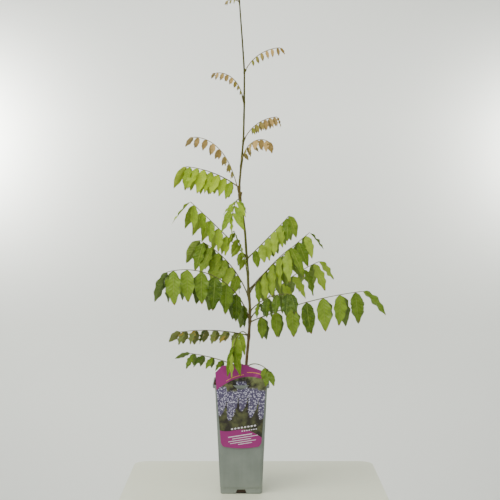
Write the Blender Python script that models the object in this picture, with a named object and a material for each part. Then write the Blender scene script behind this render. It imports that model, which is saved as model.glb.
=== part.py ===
# A young wisteria in a tall square nursery pot, with its picture label hooked over the rim.
# Metres, +Z up. The origin is the centre of the pot's base, on the surface that the pot stands on.
# -Y is the front, where the label hangs. Azimuths turn from +X towards +Y, in degrees.

import math
import random

import bmesh
import bpy
import numpy as np
from mathutils import Vector

# Pot: a tall square two-litre container of thin moulded plastic.
POT_HEIGHT = 0.2245
RIM_WIDTH = 0.115
BODY_TOP_WIDTH = 0.1064
BASE_WIDTH = 0.085
RIM_BAND = 0.0075
WALL = 0.0013
FLOOR = 0.0024
CORNER_TOP = 0.011
CORNER_BASE = 0.008
NOTCH_HEIGHT = 0.009
NOTCH_FOOT_WIDTH = 0.024
NOTCH_HEAD_WIDTH = 0.016
NOTCH_DEPTH = 0.011
CORNER_STEPS = 3

# Soil: fills the pot to just under the rim.
GAP = 0.0003
SOIL_BELOW_RIM = 0.0085
SOIL_DOME = 0.004
SOIL_CRUMB = 0.0012
SOIL_RINGS = 5

# Stem: height and sideways lean of the main shoot, read along its length.
STEM_FOOT = 0.165
STEM_LINE = (
    (0.165, 0.0085, 0.004),
    (0.225, 0.0095, 0.004),
    (0.264, 0.0108, 0.003),
    (0.305, 0.0145, 0.002),
    (0.345, 0.0175, 0.000),
    (0.380, 0.0180, -0.001),
    (0.416, 0.0145, 0.000),
    (0.452, 0.0134, 0.002),
    (0.490, 0.0106, 0.003),
    (0.528, 0.0082, 0.002),
    (0.564, 0.0035, 0.000),
    (0.594, -0.0022, -0.001),
    (0.625, -0.0039, 0.000),
    (0.674, 0.0002, 0.001),
    (0.723, 0.0049, 0.002),
    (0.794, 0.0062, 0.001),
    (0.857, 0.0066, 0.000),
    (0.930, 0.0017, 0.001),
    (0.985, -0.0023, 0.001),
    (1.030, -0.0060, 0.000),
    (1.062, -0.0080, -0.002),
)
STEM_RADIUS_FOOT = 0.0033
STEM_RADIUS_TIP = 0.0013
COLLAR_HEIGHT = 0.600
COLLAR_RADIUS = 0.0036
COLLAR_LENGTH = 0.020
CUT_STUB_LENGTH = 0.014
CUSHION_RADIUS = 0.0021

# Label: a plastic card with a curved slit, whose tongue hooks behind the rim.
CARD = 0.0007
LABEL_TOP_WIDTH = 0.104
LABEL_FOOT_WIDTH = 0.081
LABEL_FOOT_Z = 0.0992
LABEL_SHOULDER_Z = 0.250
LABEL_FOOT_SAG = 0.0045
LABEL_BEND = 0.012
LABEL_OUTLINE = (
    (-0.052, 0.250),
    (-0.038, 0.264),
    (-0.022, 0.265),
    (-0.002, 0.269),
    (0.014, 0.264),
    (0.036, 0.256),
    (0.052, 0.251),
)
LABEL_COLUMNS = (0.0, 5.0, 10.0, 13.5, 16.0, 18.5, 21.0, 24.0, 31.0, 38.0, 45.0, 50.0, 52.0)
LABEL_ROWS_BELOW = 5
LABEL_ROWS_ABOVE = 6
SLIT_Z = 0.2329
SLIT_HALF = 0.024
SLIT_SAG = 0.0139
SLIT_OPEN = 0.0030
PUNCH_X = -0.002
PUNCH_Z = 0.2562
PUNCH_RADIUS = 0.0021

# Leaves: one compound leaf is a rachis with pairs of leaflets and one at its end.
PETIOLE_RADIUS = 0.0013
RACHIS_TIP_RADIUS = 0.0007
BLADE = 0.0007
RACHIS_POINTS = 9
PATH_SAMPLES = 97
LEAFLET_SPREAD = 62.0
LEAFLET_STATIONS = ((0.0, 0.05), (0.34, 0.98), (0.70, 0.64), (1.0, 0.05))
END_ROLL = 55.0
SEED = 7

# Each leaf: height on the stem, azimuth, rachis length, rise at the foot and at the end, bend
# (above 1 bends late), sideways sweep, share of bare petiole, pairs, leaflet length, width share,
# hang of the pairs and of the end leaflet (0 spread, 1 straight down), and colour group.
LEAVES = {
    "leaf_01_lower_left": (0.246, 186, 0.116, 26, 8, 1.0, -4, 0.42, 4, 0.035, 0.42, 0.55, 0.34, "deep"),
    "leaf_02_over_label": (0.252, 296, 0.094, 26, -26, 1.0, 8, 0.80, 2, 0.033, 0.46, 0.62, 0.54, "deep"),
    "leaf_03_curled_left": (0.318, 176, 0.137, 13, -8, 1.0, 4, 0.16, 6, 0.034, 0.60, 0.60, 0.40, "dull"),
    "leaf_04_front_drooping": (0.313, 246, 0.092, 44, -62, 0.9, 6, 0.45, 3, 0.062, 0.29, 0.76, 0.66, "mid"),
    "leaf_05_long_right": (0.346, 346, 0.238, 24, 8, 1.0, 4, 0.09, 7, 0.068, 0.46, 0.80, 0.44, "deep"),
    "leaf_06_back_right": (0.352, 36, 0.206, 46, 18, 1.0, -4, 0.50, 4, 0.060, 0.42, 0.66, 0.56, "mid"),
    "leaf_07_dark_right": (0.368, 309, 0.122, 38, 0, 1.0, 8, 0.24, 4, 0.044, 0.50, 0.76, 0.66, "deep"),
    "leaf_08_left_long": (0.350, 195, 0.206, 70, -14, 1.0, -2, 0.09, 7, 0.072, 0.48, 0.80, 0.70, "deep"),
    "leaf_09_front_right": (0.404, 348, 0.122, 56, 38, 1.0, -4, 0.22, 5, 0.070, 0.35, 0.74, 0.72, "mid"),
    "leaf_10_back": (0.404, 54, 0.142, 46, -8, 1.0, 6, 0.30, 4, 0.052, 0.40, 0.70, 0.62, "mid"),
    "leaf_11_left_mid": (0.394, 156, 0.156, 66, 24, 1.0, 2, 0.27, 6, 0.062, 0.46, 0.72, 0.66, "mid"),
    "leaf_12_right_far": (0.412, 26, 0.178, 43, 35, 1.0, 0, 0.55, 4, 0.055, 0.42, 0.70, 0.60, "mid"),
    "leaf_13_front_small": (0.446, 228, 0.085, 72, 50, 1.0, 8, 0.20, 5, 0.035, 0.42, 0.68, 0.60, "fresh"),
    "leaf_14_right_upper": (0.476, 350, 0.118, 44, 47, 1.0, 0, 0.16, 6, 0.050, 0.46, 0.74, 0.66, "mid"),
    "leaf_15_left_upper": (0.480, 192, 0.156, 46, 42, 1.0, 2, 0.34, 5, 0.060, 0.36, 0.62, 0.56, "fresh"),
    "leaf_16_front_upper": (0.597, 257, 0.084, 6, -50, 1.0, 6, 0.12, 4, 0.046, 0.32, 0.46, 0.42, "fresh"),
    "leaf_17_bright_left": (0.622, 172, 0.114, 36, 6, 1.0, 4, 0.14, 7, 0.054, 0.40, 0.64, 0.56, "bright"),
    "leaf_18_bronze_left_long": (0.607, 196, 0.148, 73, -2, 2.0, -6, 0.24, 7, 0.026, 0.46, 0.62, 0.50, "bronze"),
    "leaf_19_bronze_right_low": (0.666, 321, 0.088, 75, -27, 1.0, -4, 0.12, 6, 0.026, 0.50, 0.62, 0.60, "bronze"),
    "leaf_20_bronze_right_mid": (0.717, 14, 0.084, 61, 4, 1.0, 6, 0.30, 6, 0.023, 0.44, 0.70, 0.74, "bronze"),
    "leaf_21_bronze_left_high": (0.796, 188, 0.078, 74, -10, 1.4, -4, 0.14, 7, 0.016, 0.50, 0.62, 0.40, "bronze"),
    "leaf_22_bronze_right_high": (0.857, 350, 0.084, 60, 2, 1.0, 4, 0.26, 6, 0.018, 0.42, 0.70, 0.62, "bronze"),
    "leaf_23_tip_left": (1.000, 178, 0.022, 22, -20, 1.0, 0, 0.30, 3, 0.011, 0.36, 0.50, 0.44, "bronze"),
    "leaf_24_tip_right": (1.040, 20, 0.026, 60, 20, 1.0, 0, 0.34, 3, 0.009, 0.36, 0.40, 0.36, "bronze"),
}

COLOURS = {
    "deep": (0.055, 0.120, 0.012),
    "dull": (0.105, 0.160, 0.040),
    "mid": (0.115, 0.205, 0.020),
    "fresh": (0.165, 0.260, 0.030),
    "bright": (0.230, 0.330, 0.035),
    "bronze": (0.330, 0.205, 0.085),
    "stem": (0.125, 0.105, 0.035),
    "soil": (0.018, 0.013, 0.010),
    "pot": (0.205, 0.230, 0.205),
    "label": (0.360, 0.030, 0.230),
}


def material(name, roughness):
    """A plain Principled finish in one of the named colours."""
    found = bpy.data.materials.get(name)
    if found:
        return found
    made = bpy.data.materials.new(name)
    made.use_nodes = True
    shader = made.node_tree.nodes["Principled BSDF"]
    shader.inputs["Base Color"].default_value = (*COLOURS[name], 1.0)
    shader.inputs["Roughness"].default_value = roughness
    shader.inputs["Metallic"].default_value = 0.0
    return made


def mesh_object(name, points, faces, finish=None):
    """A new object from points and faces, with its normals turned outwards."""
    mesh = bpy.data.meshes.new(name)
    mesh.from_pydata([tuple(p) for p in points], [], faces)
    work = bmesh.new()
    work.from_mesh(mesh)
    bmesh.ops.recalc_face_normals(work, faces=work.faces)
    work.to_mesh(mesh)
    work.free()
    made = bpy.data.objects.new(name, mesh)
    bpy.context.scene.collection.objects.link(made)
    if finish:
        mesh.materials.append(finish)
    return made


def lofted(rings):
    """Points and faces of a closed solid through rings of equal length, capped at both ends."""
    count = len(rings[0])
    points = [p for ring in rings for p in ring]
    faces = []
    for k in range(len(rings) - 1):
        low, high = k * count, (k + 1) * count
        for i in range(count):
            j = (i + 1) % count
            faces.append((low + i, low + j, high + j, high + i))
    faces.append(tuple(reversed(range(count))))
    faces.append(tuple(range((len(rings) - 1) * count, len(rings) * count)))
    return points, faces


def tube(name, centres, radii, sides_level):
    """A round bar along the centres, as a bevelled curve turned into a mesh."""
    curve = bpy.data.curves.new(name, "CURVE")
    curve.dimensions = "3D"
    curve.bevel_depth = 1.0
    curve.bevel_resolution = sides_level
    curve.use_fill_caps = True
    spline = curve.splines.new("POLY")
    spline.points.add(len(centres) - 1)
    for point, centre, radius in zip(spline.points, centres, radii):
        point.co = (*centre, 1.0)
        point.radius = radius
    guide = bpy.data.objects.new(name + "_line", curve)
    bpy.context.scene.collection.objects.link(guide)
    graph = bpy.context.evaluated_depsgraph_get()
    mesh = bpy.data.meshes.new_from_object(guide.evaluated_get(graph))
    bpy.data.objects.remove(guide)
    work = bmesh.new()
    work.from_mesh(mesh)
    bmesh.ops.remove_doubles(work, verts=work.verts, dist=1e-6)
    bmesh.ops.recalc_face_normals(work, faces=work.faces)
    work.to_mesh(mesh)
    work.free()
    made = bpy.data.objects.new(name, mesh)
    bpy.context.scene.collection.objects.link(made)
    return made


def apply_boolean(target, operation, tools, solver="EXACT"):
    """One Boolean of target with all the tools, applied, with the tools then removed."""
    group = bpy.data.collections.new(target.name + "_tools")
    bpy.context.scene.collection.children.link(group)
    for tool in tools:
        for home in tool.users_collection:
            home.objects.unlink(tool)
        group.objects.link(tool)
    modifier = target.modifiers.new("join", "BOOLEAN")
    modifier.operation = operation
    modifier.operand_type = "COLLECTION"
    modifier.collection = group
    modifier.solver = solver
    graph = bpy.context.evaluated_depsgraph_get()
    mesh = bpy.data.meshes.new_from_object(target.evaluated_get(graph))
    target.modifiers.clear()
    target.data = mesh
    for tool in tools:
        bpy.data.objects.remove(tool)
    bpy.data.collections.remove(group)


def finish_with(target, finish):
    """Gives the whole mesh one material."""
    target.data.materials.clear()
    target.data.materials.append(finish)
    target.data.polygons.foreach_set("material_index", [0] * len(target.data.polygons))


def rounded_square(width, corner, z):
    """Points round a square of that width with rounded corners, at height z."""
    half = width / 2 - corner
    points = []
    for quarter in range(4):
        turn = quarter * math.pi / 2
        middle = turn + math.pi / 4
        cx = half * math.sqrt(2) * math.cos(middle)
        cy = half * math.sqrt(2) * math.sin(middle)
        for step in range(CORNER_STEPS + 1):
            angle = turn + step * math.pi / 2 / CORNER_STEPS
            points.append((cx + corner * math.cos(angle), cy + corner * math.sin(angle), z))
    return points


def body_width(z):
    """The pot body's outer width at height z: a straight taper."""
    return BASE_WIDTH + (BODY_TOP_WIDTH - BASE_WIDTH) * z / POT_HEIGHT


def corner_radius(z):
    """The pot body's corner radius at height z."""
    return CORNER_BASE + (CORNER_TOP - CORNER_BASE) * z / POT_HEIGHT


def build_pot():
    """The pot: a tapered square shell, stepped out to a rim band, with a drain notch in each side's foot."""
    under_rim = POT_HEIGHT - RIM_BAND
    lip = (RIM_WIDTH - BODY_TOP_WIDTH) / 2
    ledge = under_rim + WALL
    inner_foot = body_width(FLOOR) - 2 * WALL
    foot_round = 0.0015
    edge_round = 0.0004
    rings = [
        rounded_square(BASE_WIDTH - 2 * foot_round, CORNER_BASE - foot_round, 0.0),
        rounded_square(body_width(foot_round), CORNER_BASE, foot_round),
        rounded_square(body_width(under_rim), corner_radius(under_rim), under_rim),
        rounded_square(RIM_WIDTH - 2 * edge_round, CORNER_TOP + lip - edge_round, under_rim + 0.0001),
        rounded_square(RIM_WIDTH, CORNER_TOP + lip, under_rim + 0.0006),
        rounded_square(RIM_WIDTH, CORNER_TOP + lip, POT_HEIGHT - edge_round),
        rounded_square(RIM_WIDTH - 2 * edge_round, CORNER_TOP + lip - edge_round, POT_HEIGHT),
        rounded_square(RIM_WIDTH - 2 * WALL, CORNER_TOP + lip - WALL, POT_HEIGHT),
        rounded_square(RIM_WIDTH - 2 * WALL, CORNER_TOP + lip - WALL, ledge),
        rounded_square(body_width(ledge) - 2 * WALL, corner_radius(ledge) - WALL, ledge),
        rounded_square(inner_foot, CORNER_BASE - WALL, FLOOR),
    ]
    points, faces = lofted(rings)
    pot = mesh_object("pot", points, faces, material("pot", 0.55))
    cutters = []
    for side in range(4):
        cutters.append(notch_cutter(side))
    apply_boolean(pot, "DIFFERENCE", cutters)
    finish_with(pot, material("pot", 0.55))


def notch_cutter(side):
    """A trapezoid bar that cuts one drain notch through the wall and the edge of the floor."""
    outer = BASE_WIDTH / 2 + 0.004
    inner = BASE_WIDTH / 2 - NOTCH_DEPTH
    foot, head = NOTCH_FOOT_WIDTH / 2, NOTCH_HEAD_WIDTH / 2
    profile = ((-foot, -0.001), (foot, -0.001), (head, NOTCH_HEIGHT), (-head, NOTCH_HEIGHT))
    angle = side * math.pi / 2
    rings = []
    for reach in (inner, outer):
        ring = []
        for across, up in profile:
            x = reach * math.cos(angle) - across * math.sin(angle)
            y = reach * math.sin(angle) + across * math.cos(angle)
            ring.append((x, y, up))
        rings.append(ring)
    points, faces = lofted(rings)
    return mesh_object(f"notch_{side}", points, faces)


def soil_height(x, y):
    """The soil's surface: a low dome with fixed waves standing for its crumbs."""
    edge = RIM_WIDTH / 2
    dome = SOIL_DOME * (1 - (x * x + y * y) / (edge * edge))
    crumbs = math.sin(310 * x + 1.3) * math.sin(270 * y + 0.4) + 0.6 * math.sin(520 * (x + y))
    return POT_HEIGHT - SOIL_BELOW_RIM + max(dome, -0.002) + SOIL_CRUMB * crumbs


def build_soil():
    """The root ball: fills the pot, with a plain hole for the stem and a pocket over each notch."""
    foot_z = FLOOR + GAP
    inner = body_width(foot_z) - 2 * WALL - 2 * GAP
    rings = [rounded_square(inner, CORNER_BASE - WALL - GAP, foot_z)]
    edge_z = POT_HEIGHT - SOIL_BELOW_RIM - 0.003
    inner_top = body_width(edge_z) - 2 * WALL - 2 * GAP
    corner = corner_radius(edge_z) - WALL - GAP
    rings.append(rounded_square(inner_top, corner, edge_z))
    for k in range(SOIL_RINGS):
        share = 1 - (k + 0.25) / SOIL_RINGS
        flat = rounded_square(inner_top * share, corner * share, 0.0)
        rings.append([(x, y, soil_height(x, y)) for x, y, _ in flat])
    points, faces = lofted(rings)
    soil = mesh_object("soil", points, faces, material("soil", 0.95))
    path = stem_path()
    hole_line = [path(z) for z in (STEM_FOOT - GAP, 0.19, 0.215, 0.24)]
    hole_line[0] = hole_line[0] - Vector((0, 0, GAP))
    reach = [STEM_RADIUS_FOOT * 1.09 + 2 * GAP] * len(hole_line)
    apply_boolean(soil, "DIFFERENCE", [tube("stem_hole", hole_line, reach, 3)])
    finish_with(soil, material("soil", 0.95))


def stem_path():
    """A smooth curve through the stem's line, as a function of height."""
    z = np.array([row[0] for row in STEM_LINE])
    x = np.array([row[1] for row in STEM_LINE])
    y = np.array([row[2] for row in STEM_LINE])

    def at(height):
        height = min(max(height, STEM_FOOT - GAP), z[-1])
        return Vector((np.interp(height, z, x), np.interp(height, z, y), height))

    return at


def stem_radius(z):
    """The stem thins towards its tip, fastest low down."""
    share = (z - STEM_FOOT) / (STEM_LINE[-1][0] - STEM_FOOT)
    return STEM_RADIUS_TIP + (STEM_RADIUS_FOOT - STEM_RADIUS_TIP) * (1 - max(share, 0)) ** 0.9


def cushion_reach(height, rise):
    """How far a leaf cushion must stand out so that the petiole's foot clears the stem."""
    slope = math.radians(rise)
    clear = stem_radius(height) + GAP + PETIOLE_RADIUS * 1.2 * math.sin(slope)
    return clear / math.cos(slope) + 0.0004


def leaf_direction(azimuth, rise):
    """The unit vector that rises by rise at that azimuth."""
    a, r = math.radians(azimuth), math.radians(rise)
    return Vector((math.cos(r) * math.cos(a), math.cos(r) * math.sin(a), math.sin(r)))


def build_stem():
    """The woody stem: a leaf cushion under each leaf, and the pruned collar where the new shoot starts."""
    path = stem_path()
    heights = [row[0] for row in STEM_LINE]
    centres = [path(z) for z in heights]
    radii = [stem_radius(z) for z in heights]
    stem = tube("stem", centres, radii, 2)
    parts = []
    for name, row in LEAVES.items():
        height, azimuth, rise = row[0], row[1], row[3]
        start = path(height)
        along = leaf_direction(azimuth, rise)
        reach = cushion_reach(height, rise)
        swell = min(CUSHION_RADIUS, stem_radius(height) * 1.1)
        line = [start, start + along * reach * 0.6, start + along * reach]
        parts.append(tube("cushion_" + name, line, [swell * 1.1, swell, swell * 0.9], 1))
    collar = [path(COLLAR_HEIGHT + k * COLLAR_LENGTH / 4) for k in range(-2, 3)]
    parts.append(tube("collar", collar, [COLLAR_RADIUS * s for s in (0.6, 0.9, 1.0, 0.85, 0.55)], 2))
    stub_foot = path(COLLAR_HEIGHT)
    stub_head = stub_foot + leaf_direction(300, 68) * CUT_STUB_LENGTH
    parts.append(tube("cut_stub", [stub_foot, stub_head], [COLLAR_RADIUS * 0.8, COLLAR_RADIUS * 0.7], 2))
    apply_boolean(stem, "UNION", parts)
    finish_with(stem, material("stem", 0.7))


def rachis_path(row, start):
    """The rachis line: it leaves at its rise and bends to its end rise, swept sideways as it goes."""
    _, azimuth, length, rise, end_rise, bend, sweep = row[:7]
    t = np.linspace(0.0, 1.0, PATH_SAMPLES)
    tilt = np.radians(rise + (end_rise - rise) * t**bend)
    turn = np.radians(azimuth + sweep * t)
    step = np.stack([np.cos(tilt) * np.cos(turn), np.cos(tilt) * np.sin(turn), np.sin(tilt)], 1)
    middle = (step[1:] + step[:-1]) / 2
    run = np.concatenate([np.zeros((1, 3)), np.cumsum(middle, 0)]) * length / (PATH_SAMPLES - 1)
    return np.array(start) + run, step


def carried(vector, before, after):
    """The vector turned as the smallest turn takes the unit vector before to after."""
    both = before + after
    return vector - both * (vector.dot(after) / max(1 + before.dot(after), 0.05))


def leaflet_solid(name, root, out, across, length, width, arch):
    """One leaflet: a thin blade through its stations, arched towards the ground."""
    down = Vector((0, 0, -1))
    drop = down - out * down.dot(out)
    rings = []
    for share, wide in LEAFLET_STATIONS:
        centre = root + out * (length * share) + drop * (arch * length * share * share)
        heading = (out + drop * (2 * arch * share)).normalized()
        side = (across - heading * across.dot(heading)).normalized()
        face = heading.cross(side)
        half = max(width * wide / 2, 0.0006)
        rings.append(
            [
                centre - side * half - face * (BLADE / 2),
                centre + side * half - face * (BLADE / 2),
                centre + side * half + face * (BLADE / 2),
                centre - side * half + face * (BLADE / 2),
            ]
        )
    points = [p for ring in rings for p in ring]
    faces = [(0, 1, 2, 3)]
    for k in range(0, 4 * len(rings) - 4, 4):
        faces += [(k, k + 1, k + 5), (k, k + 5, k + 4), (k + 3, k + 2, k + 6), (k + 3, k + 6, k + 7)]
        faces += [(k + 1, k + 2, k + 6, k + 5), (k + 3, k, k + 4, k + 7)]
    faces.append(tuple(len(points) - 1 - i for i in range(4)))
    return mesh_object(name, points, faces)


def leaflet_layout(row, points, steps, draw):
    """Root, direction, width direction, length, width and arch of each leaflet of a leaf."""
    bare, pairs, longest, share, hang, end_hang = row[7:13]
    up = Vector((0, 0, 1))
    down = -up
    layout = []
    for k in range(pairs + 1):
        end = k == pairs
        t = 1.0 if end else bare + (0.94 - bare) * k / max(pairs - 1, 1)
        i = min(int(round(t * (PATH_SAMPLES - 1))), PATH_SAMPLES - 1)
        root, along = Vector(points[i]), Vector(steps[i]).normalized()
        level = along.cross(up).normalized()
        grow = (k + 0.6) / (pairs + 0.6)
        size = longest * (0.96 if end else 0.66 + 0.34 * math.sin(math.pi * grow**1.1 * 0.80))
        for side in [0] if end else [-1, 1]:
            lift, turn, scale = draw.uniform(-1, 1), draw.uniform(-1, 1), draw.uniform(-1, 1)
            spread = math.radians(LEAFLET_SPREAD + 5 * lift) * (0 if end else 1)
            flat_out = along * math.cos(spread) + level * (side * math.sin(spread))
            flat_across = along * math.sin(spread) - level * (side * math.cos(spread))
            if end:
                roll = math.radians(END_ROLL + 10 * turn)
                flat_across = level * math.cos(roll) + flat_out.cross(level) * math.sin(roll)
            sag = (end_hang if end else hang) + 0.06 * turn
            out = (flat_out * (1 - sag) + down * sag).normalized()
            across = carried(flat_across, flat_out, out)
            length = size * (1 + 0.07 * scale)
            layout.append((root, out, across, length, length * share, 0.10 + 0.05 * turn))
    return layout


def build_leaf(name, row):
    """One compound leaf: its rachis with every leaflet joined to it."""
    height, azimuth, _, rise = row[:4]
    reach = cushion_reach(height, rise) + GAP
    start = stem_path()(height) + leaf_direction(azimuth, rise) * reach
    points, steps = rachis_path(row, start)
    picks = np.linspace(0, PATH_SAMPLES - 1, RACHIS_POINTS).round().astype(int)
    centres = [Vector(points[i]) for i in picks]
    slim = PETIOLE_RADIUS if row[9] > 0.03 else PETIOLE_RADIUS * 0.75
    radii = [slim + (RACHIS_TIP_RADIUS - slim) * i / (PATH_SAMPLES - 1) for i in picks]
    leaf = tube(name, centres, radii, 0)
    draw = random.Random(SEED + int(height * 1000))
    blades = []
    for k, (root, out, across, length, width, arch) in enumerate(leaflet_layout(row, points, steps, draw)):
        blades.append(leaflet_solid(f"{name}_blade_{k}", root, out, across, length, width, arch))
    apply_boolean(leaf, "UNION", blades)
    finish_with(leaf, material(row[13], 0.5))


def label_edge(z):
    """Half the label's width at height z, tapering with the pot."""
    share = (z - LABEL_FOOT_Z) / (LABEL_SHOULDER_Z - LABEL_FOOT_Z)
    return (LABEL_FOOT_WIDTH + (LABEL_TOP_WIDTH - LABEL_FOOT_WIDTH) * min(share, 1.0)) / 2


def label_top(x):
    """The label's top edge: straight runs through its outline."""
    return float(np.interp(x, [p[0] for p in LABEL_OUTLINE], [p[1] for p in LABEL_OUTLINE]))


def label_foot(across):
    """The label's bottom edge: a shallow curve with rounded ends; across runs from -1 to 1."""
    lift = 0.007 * max(0.0, (abs(across) - 0.86) / 0.14) ** 2
    return LABEL_FOOT_Z - LABEL_FOOT_SAG * (1 - across * across) + lift


def slit_dip(x):
    """How far the curved slit dips below its ends at x."""
    share = min(abs(x) / SLIT_HALF, 1.0)
    return SLIT_SAG * (1 - share * share)


def card_plane(z):
    """The card's distance in front of the pot's centre: before the lip, then down along the wall."""
    before_lip = RIM_WIDTH / 2 + GAP + CARD / 2 + 0.0001
    before_wall = body_width(LABEL_FOOT_Z) / 2 + 0.0009
    share = (z - LABEL_FOOT_Z) / (POT_HEIGHT - RIM_BAND - LABEL_BEND - LABEL_FOOT_Z)
    return before_wall + (before_lip - before_wall) * min(max(share, 0.0), 1.0)


def tongue_push(x, z):
    """How far the card over the slit is pushed back, to pass behind the rim."""
    push = WALL + CARD + 6 * GAP
    over = max(z - (SLIT_Z - slit_dip(x)), 0.0)
    half = SLIT_HALF + over * 0.9
    inward = min(max(1 - abs(x) / half, 0.0) / 0.32, 1.0)
    return push * inward * (1.5 - 0.5 * inward * inward) * max(0.0, 1 - over / 0.060)


def build_label():
    """The label: a card whose grid has one row split by the slit, thickened to its gauge."""
    columns = [-c / 1000 for c in reversed(LABEL_COLUMNS[1:])] + [c / 1000 for c in LABEL_COLUMNS]
    last = len(columns)
    points = []
    for r in range(LABEL_ROWS_BELOW + 1):
        for x in columns:
            across = x / columns[-1]
            dip = slit_dip(x)
            foot = label_foot(across)
            z = foot + (SLIT_Z - dip - SLIT_OPEN * dip / SLIT_SAG - foot) * r / LABEL_ROWS_BELOW
            points.append((across * label_edge(z), -card_plane(z), z))
    for r in range(LABEL_ROWS_ABOVE + 1):
        for x in columns:
            split = SLIT_Z - slit_dip(x)
            z = split + (label_top(x) - split) * (r / LABEL_ROWS_ABOVE) ** 1.2
            place = x / columns[-1] * label_edge(z)
            points.append((place, tongue_push(x, z) - card_plane(z), z))
    faces = []
    for r in range(LABEL_ROWS_BELOW + 1 + LABEL_ROWS_ABOVE):
        for c in range(last - 1 if r != LABEL_ROWS_BELOW else 0):
            a = r * last + c
            faces += [(a, a + 1, a + last + 1), (a, a + last + 1, a + last)]
    mesh = bpy.data.meshes.new("label")
    mesh.from_pydata(points, [], faces)
    work = bmesh.new()
    work.from_mesh(mesh)
    bmesh.ops.remove_doubles(work, verts=work.verts, dist=2e-5)
    work.to_mesh(mesh)
    work.free()
    label = bpy.data.objects.new("label", mesh)
    bpy.context.scene.collection.objects.link(label)
    gauge = label.modifiers.new("gauge", "SOLIDIFY")
    gauge.thickness = CARD
    gauge.offset = 0.0
    gauge.use_even_offset = True
    plane = card_plane(PUNCH_Z)
    line = [Vector((PUNCH_X, -plane - 0.01, PUNCH_Z)), Vector((PUNCH_X, -plane + 0.02, PUNCH_Z))]
    apply_boolean(label, "DIFFERENCE", [tube("punch", line, [PUNCH_RADIUS] * 2, 2)])
    finish_with(label, material("label", 0.35))


def main():
    for old in list(bpy.data.objects):
        bpy.data.objects.remove(old)
    build_pot()
    build_soil()
    build_label()
    build_stem()
    for name, row in LEAVES.items():
        build_leaf(name, row)


main()
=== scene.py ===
"""A young wisteria in a tall square nursery pot: the looks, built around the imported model."""

import math
import random
from collections import namedtuple
from functools import partial

import bmesh
import bpy
import numpy as np
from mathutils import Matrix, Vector


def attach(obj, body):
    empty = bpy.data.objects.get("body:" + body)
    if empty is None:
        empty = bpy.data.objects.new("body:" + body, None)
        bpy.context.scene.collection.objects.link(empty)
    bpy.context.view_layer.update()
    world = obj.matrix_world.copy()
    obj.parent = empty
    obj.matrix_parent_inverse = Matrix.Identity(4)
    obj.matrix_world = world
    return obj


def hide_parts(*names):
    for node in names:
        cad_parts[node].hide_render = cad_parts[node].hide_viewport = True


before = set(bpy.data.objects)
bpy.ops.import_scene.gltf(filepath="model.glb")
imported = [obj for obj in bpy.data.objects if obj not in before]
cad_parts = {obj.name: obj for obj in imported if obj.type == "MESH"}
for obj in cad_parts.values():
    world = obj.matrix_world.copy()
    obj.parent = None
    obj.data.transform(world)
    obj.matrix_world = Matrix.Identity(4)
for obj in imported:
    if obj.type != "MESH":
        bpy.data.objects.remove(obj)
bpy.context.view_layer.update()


# --- Camera -------------------------------------------------------------------------------------
# The picture is taken from about 2.3 m, a little above the middle of the plant, with a lens long
# enough to keep the pot's sides nearly parallel.

LENS_MM = 82.94
SENSOR_MM = 36.0
CAMERA_PLACE = (0.018, -2.36, 0.597)
CAMERA_TILT_DEG = 2.49

camera_data = bpy.data.cameras.new("studio_camera")
camera_data.lens = LENS_MM
camera_data.sensor_width = SENSOR_MM
camera = bpy.data.objects.new("studio_camera", camera_data)
camera.location = CAMERA_PLACE
camera.rotation_euler = (math.radians(90 - CAMERA_TILT_DEG), 0, 0)
bpy.context.scene.collection.objects.link(camera)
bpy.context.scene.camera = camera


# --- Table, backdrop and light ------------------------------------------------------------------
# The pot stands on a small square table top of pale laminate with rounded corners, before a plain
# pale grey backdrop with a lamp's glow at each side and painted shade towards its top. Wide soft
# boxes overhead and at both sides give faint shadows and no hard glints.

TABLE_HEX = "#DEE0C6"
TABLE_MOTTLE_HEX = "#DADCC2"
BACKDROP_HEX = "#E9EBE2"
BACKDROP_TOP_SHADE_HEX = "#D4D6CE"
TABLE_WIDTH = 0.540
TABLE_BACK = 0.253
TABLE_RIGHT = 0.296
TABLE_CORNER = 0.030
TABLE_THICK = 0.030
BACKDROP_DISTANCE = 3.0
BACKDROP_REACH = 5.0
AIR_HEX = "#E6E9EA"
AIR_STRENGTH = 0.75

# Each lamp: name, place, aim, width and watts.
LAMPS = (
    ("overhead_box", (-0.7, -1.0, 2.9), (0.0, 0.0, 0.55), 1.6, 66.0),
    ("left_box", (-2.4, -1.6, 1.3), (0.0, 0.0, 0.5), 2.0, 20.0),
    ("right_box", (2.4, -1.8, 1.4), (0.0, 0.0, 0.5), 2.0, 15.0),
    ("backdrop_box", (0.0, 1.7, 2.0), (0.0, 3.0, 0.5), 1.2, 27.0),
    ("left_glow", (-1.45, 2.62, 0.90), (-1.25, 3.0, 0.90), 0.25, 26.0),
    ("right_glow", (1.50, 2.62, 0.86), (1.35, 3.0, 0.86), 0.25, 13.0),
)


def linear(hexcode, alpha=1.0):
    """The linear colour of an sRGB hex code."""
    parts = [int(hexcode[i : i + 2], 16) / 255 for i in (1, 3, 5)]
    return (*(c / 12.92 if c <= 0.04045 else ((c + 0.055) / 1.055) ** 2.4 for c in parts), alpha)


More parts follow.
